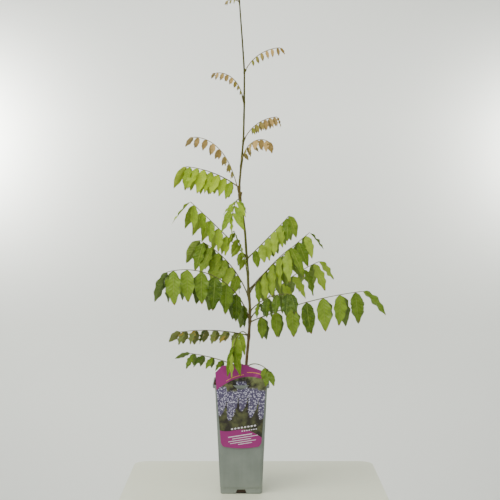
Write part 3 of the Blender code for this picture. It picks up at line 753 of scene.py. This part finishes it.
STEM_FOOT = 0.165
STEM_LINE = (
    (0.165, 0.0085, 0.004),
    (0.225, 0.0095, 0.004),
    (0.264, 0.0108, 0.003),
    (0.305, 0.0145, 0.002),
    (0.345, 0.0175, 0.000),
    (0.380, 0.0180, -0.001),
    (0.416, 0.0145, 0.000),
    (0.452, 0.0134, 0.002),
    (0.490, 0.0106, 0.003),
    (0.528, 0.0082, 0.002),
    (0.564, 0.0035, 0.000),
    (0.594, -0.0022, -0.001),
    (0.625, -0.0039, 0.000),
    (0.674, 0.0002, 0.001),
    (0.723, 0.0049, 0.002),
    (0.794, 0.0062, 0.001),
    (0.857, 0.0066, 0.000),
    (0.930, 0.0017, 0.001),
    (0.985, -0.0023, 0.001),
    (1.030, -0.0060, 0.000),
    (1.062, -0.0080, -0.002),
)
STEM_RADIUS_FOOT = 0.0033
STEM_RADIUS_TIP = 0.0013
COLLAR_HEIGHT = 0.600
COLLAR_RADIUS = 0.0036
CUT_STUB_LENGTH = 0.014
STUB_AZIMUTH = 300
STUB_RISE = 68
CUSHION_RADIUS = 0.0021
PETIOLE_RADIUS = 0.0013
RACHIS_TIP_RADIUS = 0.0007
FISSURE_HEX = "#3D3222"
PORE_HEX = "#A9996F"
BARK_STOPS = (
    (0.0, "#6A5738"),
    (0.34, "#6C5A38"),
    (0.41, "#666031"),
    (0.50, "#666A2C"),
    (0.60, "#636228"),
    (0.618, "#6C5E2E"),
    (0.645, "#685A2A"),
    (0.665, "#605C28"),
    (0.80, "#504F1A"),
    (1.0, "#464416"),
)

# Each leaf: height on the stem, azimuth, rachis length, rise at the foot and at the end, bend,
# sideways sweep, share of bare petiole, pairs, leaflet length, width share, hang of the pairs and
# of the end leaflet (0 spread, 1 straight down), and colour group.
Leaf = namedtuple(
    "Leaf", "height azimuth length rise end_rise bend sweep bare pairs leaflet share hang end_hang group"
)
LEAVES = {
    "leaf_01_lower_left": (0.246, 186, 0.116, 26, 8, 1.0, -4, 0.42, 4, 0.035, 0.42, 0.55, 0.34, "deep"),
    "leaf_02_over_label": (0.252, 296, 0.094, 26, -26, 1.0, 8, 0.80, 2, 0.033, 0.46, 0.62, 0.54, "deep"),
    "leaf_03_curled_left": (0.318, 176, 0.137, 13, -8, 1.0, 4, 0.16, 6, 0.034, 0.60, 0.60, 0.40, "dull"),
    "leaf_04_front_drooping": (0.313, 246, 0.092, 44, -62, 0.9, 6, 0.45, 3, 0.062, 0.29, 0.76, 0.66, "mid"),
    "leaf_05_long_right": (0.346, 346, 0.238, 24, 8, 1.0, 4, 0.09, 7, 0.068, 0.46, 0.80, 0.44, "deep"),
    "leaf_06_back_right": (0.352, 36, 0.206, 46, 18, 1.0, -4, 0.50, 4, 0.060, 0.42, 0.66, 0.56, "mid"),
    "leaf_07_dark_right": (0.368, 309, 0.122, 38, 0, 1.0, 8, 0.24, 4, 0.044, 0.50, 0.76, 0.66, "deep"),
    "leaf_08_left_long": (0.350, 195, 0.206, 70, -14, 1.0, -2, 0.09, 7, 0.072, 0.48, 0.80, 0.70, "deep"),
    "leaf_09_front_right": (0.404, 348, 0.122, 56, 38, 1.0, -4, 0.22, 5, 0.070, 0.35, 0.74, 0.72, "mid"),
    "leaf_10_back": (0.404, 54, 0.142, 46, -8, 1.0, 6, 0.30, 4, 0.052, 0.40, 0.70, 0.62, "mid"),
    "leaf_11_left_mid": (0.394, 156, 0.156, 66, 24, 1.0, 2, 0.27, 6, 0.062, 0.46, 0.72, 0.66, "mid"),
    "leaf_12_right_far": (0.412, 26, 0.178, 43, 35, 1.0, 0, 0.55, 4, 0.055, 0.42, 0.70, 0.60, "mid"),
    "leaf_13_front_small": (0.446, 228, 0.085, 72, 50, 1.0, 8, 0.20, 5, 0.035, 0.42, 0.68, 0.60, "fresh"),
    "leaf_14_right_upper": (0.476, 350, 0.118, 44, 47, 1.0, 0, 0.16, 6, 0.050, 0.46, 0.74, 0.66, "mid"),
    "leaf_15_left_upper": (0.480, 192, 0.156, 46, 42, 1.0, 2, 0.34, 5, 0.060, 0.36, 0.62, 0.56, "fresh"),
    "leaf_16_front_upper": (0.597, 257, 0.084, 6, -50, 1.0, 6, 0.12, 4, 0.046, 0.32, 0.46, 0.42, "fresh"),
    "leaf_17_bright_left": (0.622, 172, 0.114, 36, 6, 1.0, 4, 0.14, 7, 0.054, 0.40, 0.64, 0.56, "bright"),
    "leaf_18_bronze_left_long": (0.607, 196, 0.148, 73, -2, 2.0, -6, 0.24, 7, 0.026, 0.46, 0.62, 0.50, "bronze"),
    "leaf_19_bronze_right_low": (0.666, 321, 0.088, 75, -27, 1.0, -4, 0.12, 6, 0.026, 0.50, 0.62, 0.60, "bronze"),
    "leaf_20_bronze_right_mid": (0.717, 14, 0.084, 61, 4, 1.0, 6, 0.30, 6, 0.023, 0.44, 0.70, 0.74, "bronze"),
    "leaf_21_bronze_left_high": (0.796, 188, 0.078, 74, -10, 1.4, -4, 0.14, 7, 0.016, 0.50, 0.62, 0.40, "bronze"),
    "leaf_22_bronze_right_high": (0.857, 350, 0.084, 60, 2, 1.0, 4, 0.26, 6, 0.018, 0.42, 0.70, 0.62, "bronze"),
    "leaf_23_tip_left": (1.000, 178, 0.022, 22, -20, 1.0, 0, 0.30, 3, 0.011, 0.36, 0.50, 0.44, "bronze"),
    "leaf_24_tip_right": (1.040, 20, 0.026, 60, 20, 1.0, 0, 0.34, 3, 0.009, 0.36, 0.40, 0.36, "bronze"),
}
LEAVES = {name: Leaf(*row) for name, row in LEAVES.items()}


def stem_point(z):
    """The stem's middle at height z, on straight runs through its line, as in the CAD."""
    rows = np.array(STEM_LINE)
    z = np.clip(np.atleast_1d(z), STEM_FOOT, rows[-1, 0])
    return np.stack([np.interp(z, rows[:, 0], rows[:, 1]), np.interp(z, rows[:, 0], rows[:, 2]), z], -1)


def stem_radius(z):
    """The stem thins towards its tip, fastest low down."""
    share = np.clip((z - STEM_FOOT) / (STEM_LINE[-1][0] - STEM_FOOT), 0, 1)
    return STEM_RADIUS_TIP + (STEM_RADIUS_FOOT - STEM_RADIUS_TIP) * (1 - share) ** 0.9


def direction(azimuth, rise):
    """The unit vector that rises by rise at that azimuth, both in degrees."""
    a, r = math.radians(azimuth), math.radians(rise)
    return np.array([math.cos(r) * math.cos(a), math.cos(r) * math.sin(a), math.sin(r)])


def cushion_reach(height, rise):
    """How far a leaf cushion stands out, so that the petiole's foot clears the stem."""
    slope = math.radians(rise)
    clear = float(stem_radius(height)) + GAP + PETIOLE_RADIUS * 1.2 * math.sin(slope)
    return clear / math.cos(slope) + 0.0004


def unit(vectors):
    """Each vector divided by its length."""
    return vectors / np.linalg.norm(vectors, axis=-1, keepdims=True)


def tube(line, radius, around=10):
    """A closed round bar: circles of the given radius square to the line, on level side directions."""
    heading = unit(np.gradient(line, axis=0))
    side = unit(np.cross(heading, [0.0, 1.0, 0.0] if abs(heading[0, 2]) > 0.9 else [0.0, 0.0, 1.0]))
    up = np.cross(side, heading)
    angle = np.linspace(0, 2 * math.pi, around + 1)[:-1, None]
    circle = side[:, None] * np.cos(angle) + up[:, None] * np.sin(angle)
    radius = radius[:, None] if radius.ndim == 1 else radius
    return lofted(line[:, None] + circle * np.broadcast_to(radius, (len(line), around))[..., None])


def joined(parts):
    """Points and faces of several (points, faces) pairs put together."""
    points, faces, count = [], [], 0
    for some_points, some_faces in parts:
        points.append(some_points)
        faces += [[i + count for i in face] for face in some_faces]
        count += len(some_points)
    return np.concatenate(points), faces


def wisteria_bark():
    """Young bark: brown and fissured at the foot, olive and satin above, red-brown at the joint."""
    made, shader, add, link = plain_material("wisteria_bark", 0.62, 0.2)
    place = add("TexCoord", out="Object")
    blotch = add("TexNoise", place, Scale=60.0, Detail=3.0)
    colour = add("ValToRGB", add("MULTIPLY_ADD", blotch, 0.05, add("SeparateXYZ", place, out="Z")))
    stops = colour.node.color_ramp.elements
    while len(stops) < len(BARK_STOPS):
        stops.new(0.5)
    for stop, (at, hexcode) in zip(stops, BARK_STOPS):
        stop.position = at
        stop.color = linear(hexcode)
    streak = add("TexNoise", add("Mapping", place, Scale=(900.0, 900.0, 60.0)), Scale=1.0, Detail=3.0)
    colour = add("Mix", add("MapRange", streak, 0.35, 0.7, 0.0, 0.45), colour, FISSURE_HEX)
    pore = add("MapRange", add("TexVoronoi", place, Scale=260.0), 0.16, 0.10, 0.0, 0.3)
    link(add("Mix", pore, colour, PORE_HEX), shader["Base Color"])
    link(add("Bump", Strength=0.6, Distance=0.0004, Height=streak), shader["Normal"])
    return made


def stem_parts():
    """The shoot with fine ridges and swollen leaf joints, its cushions, the collar and the cut stub.

    Its line is eased by averaging over nine points. Its radius is swollen by a bell at each leaf and
    a wider one at the collar, and ridged by sines of the angle and the height.
    """
    z = np.linspace(STEM_FOOT, STEM_LINE[-1][0], 420)
    padded = np.pad(stem_point(z), ((4, 4), (0, 0)), "edge")
    line = np.stack([np.convolve(column, np.ones(9) / 9, "valid") for column in padded.T], 1)
    joints = np.array([leaf.height for leaf in LEAVES.values()])
    swell = 1 + 0.22 * np.exp(-(((z[:, None] - joints[None]) / 0.0035) ** 2)).sum(1).clip(0, 1)
    swell = swell + 0.45 * np.exp(-(((z - COLLAR_HEIGHT - 0.002) / 0.009) ** 2))
    radius = stem_radius(z) * swell * np.where(z > STEM_LINE[-1][0] - 0.004, 0.75, 1.0)
    around = np.linspace(0, 2 * math.pi, 13)[:-1][None]
    twined = 0.035 * np.sin(5 * around + 54 * z[:, None])
    lumps = 0.02 * np.sin(240 * z[:, None] + 2 * around)
    parts = [tube(line, radius[:, None] * (1 + twined + lumps), 12)]
    for leaf in LEAVES.values():
        share = np.linspace(0, 1, 7)
        reach = cushion_reach(leaf.height, leaf.rise)
        bulge = min(CUSHION_RADIUS, float(stem_radius(leaf.height)) * 1.1) * (1.18 - 0.30 * share**2)
        bulge[-1] *= 0.86
        out = direction(leaf.azimuth, leaf.rise) * (share * reach)[:, None]
        parts.append(tube(stem_point(leaf.height)[0] + out, bulge, 10))
    share = np.linspace(0, 1, 8)
    stub_radius = COLLAR_RADIUS * (0.82 - 0.12 * share)
    stub_radius[-1] *= 0.92
    out = direction(STUB_AZIMUTH, STUB_RISE) * (share * CUT_STUB_LENGTH)[:, None]
    parts.append(tube(stem_point(COLLAR_HEIGHT)[0] + out, stub_radius, 12))
    return joined(parts)


stem = put_mesh("twining_stem", *stem_parts(), wisteria_bark(), sharp_deg=60)
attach(stem, "root")
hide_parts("stem")


# --- Leaves -------------------------------------------------------------------------------------
# Pinnate leaves: a thin arching stalk with leaflets in facing pairs and one at its end. The
# leaflets are soft, folded a little along the midrib, wavy at the edge and drawn out to a fine
# tip. Old leaves are dark green, young ones bronze with a silky surface.

SEED = 7
PATH_SAMPLES = 97
LEAFLET_SPREAD = 62.0
END_ROLL = 55.0
LEVEL_ENDS = {"leaf_05": 20.0, "leaf_12": 14.0, "leaf_15": 10.0}
# On these leaves one side's leaflets lean further forwards and the other's back, by this many degrees.
SPLAY = {"leaf_01": 20.0, "leaf_03": 20.0, "leaf_08": -4.0, "leaf_09": 9.0, "leaf_11": 9.0, "leaf_15": -7.0}
BLADE_GAUGE = 0.00028
BLADE_TRIM = 0.94
SLIM_STALK = 0.75
SMALL_LEAFLET = 0.03
STATIONS = 17
ACROSS = 9
# For each group of leaves: the leaflets' dark and light ink, their veins, and their under side.
LEAF_INKS = {
    "deep": ("#3F580C", "#7C9828", "#8A9C44", "#6E8140"),
    "dull": ("#4A5A24", "#808C46", "#96954A", "#82884A"),
    "mid": ("#5E7A14", "#A0BA38", "#A3B44C", "#7F9240"),
    "fresh": ("#6C8A12", "#A6C230", "#A9BA4C", "#8FA438"),
    "bright": ("#829E0C", "#ACC61C", "#B9C750", "#A4B53C"),
    "bronze": ("#92783E", "#CBA966", "#A59A48", "#AC9660"),
}
DRY_TIP_HEX = "#7C5428"
DRY_PATCH_HEX = "#B8922E"
GREENING_HEX = "#8C9434"
STALK_HEX = "#4E5A1E"
YOUNG_STALK_HEX = "#7C683C"
STALK_CLOUD_HEX = "#6A5A2E"
# Painted shade and painted light: some leaves are made darker than their group where shade falls on them, and one
# paler where it is lit.
PAINTED_LEAF_SHADE_AND_LIGHT = {
    "leaf_01": -0.20,
    "leaf_02": -0.34,
    "leaf_07": -0.16,
    "leaf_10": -0.10,
    "leaf_11": -0.10,
    "leaf_14": 0.12,
}


def leaf_blade(group, young, patchy):
    """Leaf tissue: satin upper side, mottled green with a pale midrib and side veins, paler below.

    The tone picks how light a leaflet is: it varies at random, and on some whole leaves it also
    carries painted shade, on one painted light. On a young leaf its whole part, 0 to 3, says how far the
    leaflet has greened; an older leaflet is dry and brown at its very tip, and a patchy one has
    also yellowed where a broad noise is high.
    """
    dark, light, vein, under = LEAF_INKS[group]
    made, shader, add, link = plain_material("leaf_blade_" + group, 0.5 if young else 0.42, 0.2)
    place = add("TexCoord", out="Object")
    uv = add("UVMap", uv_map="places")
    u, along = add("SeparateXYZ", uv, out="X"), add("SeparateXYZ", uv, out="Y")
    stored = add("Attribute", attribute_name="tone", out="Fac")

    # Each side of the blade fills half of the UV square: off is 0 on its midrib and 1 at its margin.
    folded = add("FRACT", add("MULTIPLY", u, 2.0))
    off = add("DIVIDE", add("ABSOLUTE", add("SUBTRACT", folded, 0.5)), 0.48)
    lower = add("GREATER_THAN", u, 0.5)

    # Tissue: a cloudy mix of two inks, lifted by the leaflet's tone, which also carries the painted shade and
    # light of some leaves.
    tone = add("FRACT", stored) if young else stored
    cloud = add("TexNoise", place, Scale=110.0, Detail=3.0)
    lift = add("MULTIPLY_ADD", tone, 1.0, -0.45)
    share = add("ADD", add("MULTIPLY", cloud, 0.9), lift)
    colour = add("Mix", add("MapRange", share, 0.1, 0.95), dark, light)
    if young:
        greened = add("MULTIPLY", add("FLOOR", stored), 0.28)
        colour = add("Mix", greened, colour, GREENING_HEX)
    if patchy:
        patch = add("MapRange", add("TexNoise", place, Scale=38.0, Detail=2.0), 0.56, 0.62)
        colour = add("Mix", add("MULTIPLY", patch, 0.6), colour, DRY_PATCH_HEX)
    if not young:
        dry = add("MapRange", add("ADD", along, add("MULTIPLY", cloud, 0.06)), 0.955, 0.985)
        colour = add("Mix", add("MULTIPLY", dry, 0.8), colour, DRY_TIP_HEX)

    # Veins: nine pairs slope from the midrib towards the tip, and fade before the margin.
    wave = add("SUBTRACT", add("MULTIPLY", along, 9.0), add("MULTIPLY", off, 1.5))
    near = add("ABSOLUTE", add("SUBTRACT", add("FRACT", wave), 0.5))
    side_vein = add("MULTIPLY", add("MapRange", near, 0.07, 0.0), add("MapRange", off, 1.0, 0.5))
    midrib = add("MapRange", off, 0.075, 0.03)
    veins = add("MAXIMUM", add("MULTIPLY", side_vein, 0.22), add("MULTIPLY", midrib, 0.55))
    colour = add("Mix", veins, colour, vein)
    link(add("Mix", add("MULTIPLY", lower, 0.75), colour, under), shader["Base Color"])

    # Relief: the tissue rises between the veins and sinks along the midrib.
    quilt = add("MULTIPLY", add("MapRange", near, 0.0, 0.35), add("MapRange", off, 1.05, 0.6))
    high = add("ADD", quilt, add("MULTIPLY", cloud, 1.6))
    relief = add("SUBTRACT", high, add("MULTIPLY", midrib, 1.2))
    link(add("Bump", Strength=0.7, Distance=0.0007, Height=relief), shader["Normal"])
    shader["Subsurface Weight"].default_value = 0.12
    shader["Subsurface Radius"].default_value = (0.002, 0.003, 0.0006)
    return made


def stalk_skin(group, young):
    """A leaf stalk: smooth, slightly glossy green or bronze, clouded with brown."""
    made, shader, add, link = plain_material("leaf_stalk_" + group, 0.45, 0.4)
    cloud = add("TexNoise", add("TexCoord", out="Object"), Scale=140.0, Detail=2.0)
    skin = YOUNG_STALK_HEX if young else STALK_HEX
    link(add("Mix", cloud, skin, STALK_CLOUD_HEX), shader["Base Color"])
    return made


def rachis_line(leaf):
    """The stalk's middle line: it leaves at its rise and bends to its end rise, swept sideways."""
    outward = direction(leaf.azimuth, leaf.rise) * (cushion_reach(leaf.height, leaf.rise) + GAP)
    t = np.linspace(0.0, 1.0, PATH_SAMPLES)
    tilt = np.radians(leaf.rise + (leaf.end_rise - leaf.rise) * t**leaf.bend)
    turn = np.radians(leaf.azimuth + leaf.sweep * t)
    step = np.stack([np.cos(tilt) * np.cos(turn), np.cos(tilt) * np.sin(turn), np.sin(tilt)], 1)
    middle = (step[1:] + step[:-1]) / 2
    run = np.concatenate([np.zeros((1, 3)), np.cumsum(middle, 0)]) * leaf.length / (PATH_SAMPLES - 1)
    return stem_point(leaf.height)[0] + outward + run, step


def leaflet_layout(leaf, points, steps, draw, end_roll, splay):
    """Root, direction, width direction, length, width, arch and a random tone of each leaflet."""
    down = np.array([0.0, 0.0, -1.0])
    made = []
    for k in range(leaf.pairs + 1):
        end = k == leaf.pairs
        t = 1.0 if end else leaf.bare + (0.94 - leaf.bare) * k / max(leaf.pairs - 1, 1)
        i = min(int(round(t * (PATH_SAMPLES - 1))), PATH_SAMPLES - 1)
        along = unit(steps[i])
        level = unit(np.cross(along, -down))
        grow = (k + 0.6) / (leaf.pairs + 0.6)
        size = leaf.leaflet * (0.96 if end else 0.66 + 0.34 * math.sin(math.pi * grow**1.1 * 0.80))
        for side in [0] if end else [-1, 1]:
            lift, turn, scale = draw.uniform(-1, 1), draw.uniform(-1, 1), draw.uniform(-1, 1)
            spread = 0.0 if end else math.radians(LEAFLET_SPREAD + 5 * lift + side * splay)
            flat_out = along * math.cos(spread) + level * (side * math.sin(spread))
            flat_across = along * math.sin(spread) - level * (side * math.cos(spread))
            if end:
                roll = math.radians(end_roll + 10 * turn)
                flat_across = level * math.cos(roll) + np.cross(flat_out, level) * math.sin(roll)
            sag = (leaf.end_hang if end else leaf.hang) + 0.06 * turn
            out = unit(flat_out * (1 - sag) + down * sag)
            both = flat_out + out
            across = flat_across - both * (flat_across @ out / max(1 + flat_out @ out, 0.05))
            length = size * (1 + 0.07 * scale)
            tone = 0.5 + 0.5 * lift
            made.append((points[i], out, across, length, length * leaf.share, 0.10 + 0.05 * turn, tone))
    return [np.array(column) for column in zip(*made)]


def leaflet_blades(layout):
    """All leaflets of a leaf at once: an upper and a lower skin over s along and u across.

    The middle runs out, arches down by the square of s and curves sideways a little. Half the
    width is a skewed power bell, s^0.64 (1-s)^0.84, drawn in before the tip, on a short stalk, with
    an uneven margin. The blade twists along its length, folds up along the midrib, and waves at its
    edge.
    """
    root, out, across, length, width, arch, tone = layout
    count = len(root)
    chance = (tone[:, None] * [7.31, 13.7, 29.3]) % 1 * 2 - 1
    s = np.linspace(0, 1, STATIONS) ** 0.92
    u = np.linspace(-1, 1, ACROSS)
    bell = s**0.64 * (1 - s) ** 0.84 * (1 - 0.22 * np.exp(-(((s - 0.84) / 0.12) ** 2)))
    bell = bell / bell.max()
    bell = np.maximum(bell * np.clip((s - 0.02) / 0.06, 0, 1), 0.025)
    bell[-1] = 0.006
    down = np.array([0.0, 0.0, -1.0])
    drop = down - out * (out @ down)[:, None]
    middle = (
        root[:, None]
        + out[:, None] * (length[:, None] * s)[..., None]
        + drop[:, None] * ((arch * length)[:, None] * s**2)[..., None]
    )
    heading = unit(out[:, None] + drop[:, None] * (2 * arch[:, None] * s)[..., None])
    side = unit(across[:, None] - heading * (heading * across[:, None]).sum(-1, keepdims=True))
    face = np.cross(heading, side)
    face = face * np.sign(face[:, :1, 2:3] + 1e-9)
    middle = middle + side * (0.080 * chance[:, :1] * length[:, None] * s**2)[..., None]
    twist = 0.38 * chance[:, 1:2] * s
    side, face = (
        side * np.cos(twist)[..., None] + face * np.sin(twist)[..., None],
        face * np.cos(twist)[..., None] - side * np.sin(twist)[..., None],
    )
    phase = chance[:, 2][:, None, None] * 3.0
    margin = 1 + 0.045 * np.sin(24 * s[None] + phase[:, 0])
    half = (BLADE_TRIM * width / 2)[:, None] * bell * margin
    fold = 0.33 * np.abs(u)[None, None] * (1.15 - 0.75 * s)[None, :, None]
    edge = 0.20 * u[None, None] ** 2 * np.sin(20 * s[None, :, None] + phase + 1.4 * np.sign(u)[None, None])
    roll = 0.12 * np.sin(2.6 * s[None, :, None] + phase) * u[None, None]
    rise = half[..., None] * (fold + edge + roll)
    middle_sheet = (
        middle[:, :, None]
        + side[:, :, None] * (half[..., None] * u)[..., None] * 0.985
        + face[:, :, None] * rise[..., None]
    )
    thick = BLADE_GAUGE / 2 * np.sqrt(np.maximum(1 - 0.96 * np.abs(u) ** 4, 0.02))[None, None, :, None]
    upper = middle_sheet + face[:, :, None] * thick
    lower = middle_sheet - face[:, :, None] * thick
    size = STATIONS * ACROSS
    points = np.stack([upper, lower], 1).reshape(-1, 3)
    top = grid_faces(STATIONS, ACROSS)
    rim = np.concatenate([
        np.arange(ACROSS),
        np.arange(1, STATIONS) * ACROSS + ACROSS - 1,
        (STATIONS - 1) * ACROSS + np.arange(ACROSS - 2, -1, -1),
        np.arange(STATIONS - 2, 0, -1) * ACROSS,
    ])
    nxt = np.roll(rim, -1)
    wall = np.stack([nxt, rim, rim + size, nxt + size], 1)
    one = np.concatenate([top, top[:, ::-1] + size, wall])
    faces = (one[None] + (2 * size * np.arange(count))[:, None, None]).reshape(-1, 4)
    flip = np.cross(side[:, 0], heading[:, 0])
    turned = (flip * face[:, 0]).sum(-1) > 0
    faces = faces.reshape(count, -1, 4)
    faces[turned] = faces[turned][:, :, ::-1]
    v = np.broadcast_to(s[:, None], (STATIONS, ACROSS))
    flat = np.broadcast_to((u * 0.24 + 0.25)[None], (STATIONS, ACROSS))
    one_place = np.stack([np.stack([flat, v], -1), np.stack([flat + 0.5, v], -1)])
    places = np.broadcast_to(one_place, (count, 2, STATIONS, ACROSS, 2))
    return points, faces.reshape(-1, 4), places.reshape(-1, 2), np.repeat(tone, 2 * size)


def once(make, group, *rest):
    """The finish of a group of leaves, made the first time that it is asked for."""
    if (make, group) not in finishes:
        finishes[make, group] = make(group, *rest)
    return finishes[make, group]


finishes = {}
for name, leaf in LEAVES.items():
    young = leaf.group == "bronze"
    blade_finish = once(leaf_blade, leaf.group, young, leaf.group == "dull")
    stalk_finish = once(stalk_skin, leaf.group, young)
    short = name[: len("leaf_00")]
    path, steps = rachis_line(leaf)
    draw = random.Random(SEED + int(leaf.height * 1000))
    roll, splay = LEVEL_ENDS.get(short, END_ROLL), SPLAY.get(short, 0.0)
    points, faces, places, tones = leaflet_blades(leaflet_layout(leaf, path, steps, draw, roll, splay))
    # Painted shade and painted light: some whole leaves are shifted darker or paler than their group.
    tones = tones + PAINTED_LEAF_SHADE_AND_LIGHT.get(short, 0.0)
    if young:
        pair = np.arange(len(tones)) // (2 * STATIONS * ACROSS) // 2
        tones = np.clip(tones, 0.0, 0.99) + np.clip(3 - pair, 0, 3)

    # The stalk tapers evenly to its tip from a foot swollen by a bell.
    t = np.linspace(0, 1, PATH_SAMPLES)
    foot_radius = PETIOLE_RADIUS * (SLIM_STALK if leaf.leaflet <= SMALL_LEAFLET else 1.0)
    swell = 1 + 0.28 * np.exp(-((t * leaf.length / 0.006) ** 2))
    radius = (foot_radius + (RACHIS_TIP_RADIUS - foot_radius) * t) * swell
    stalk_points, stalk_faces = tube(path[::2], radius[::2], 8)
    made = put_mesh(
        "dressed_" + name,
        np.concatenate([points, stalk_points]),
        faces.tolist() + [[i + len(points) for i in face] for face in stalk_faces],
        blade_finish,
        places=np.concatenate([places, np.zeros((len(stalk_points), 2))]),
        tones=np.concatenate([tones, np.zeros(len(stalk_points))]),
        sharp_deg=75,
    )
    made.data.materials.append(stalk_finish)
    is_stalk = (np.arange(len(made.data.polygons)) >= len(faces)).astype(np.int32)
    made.data.polygons.foreach_set("material_index", is_stalk)
    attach(made, "root")
    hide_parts(name)
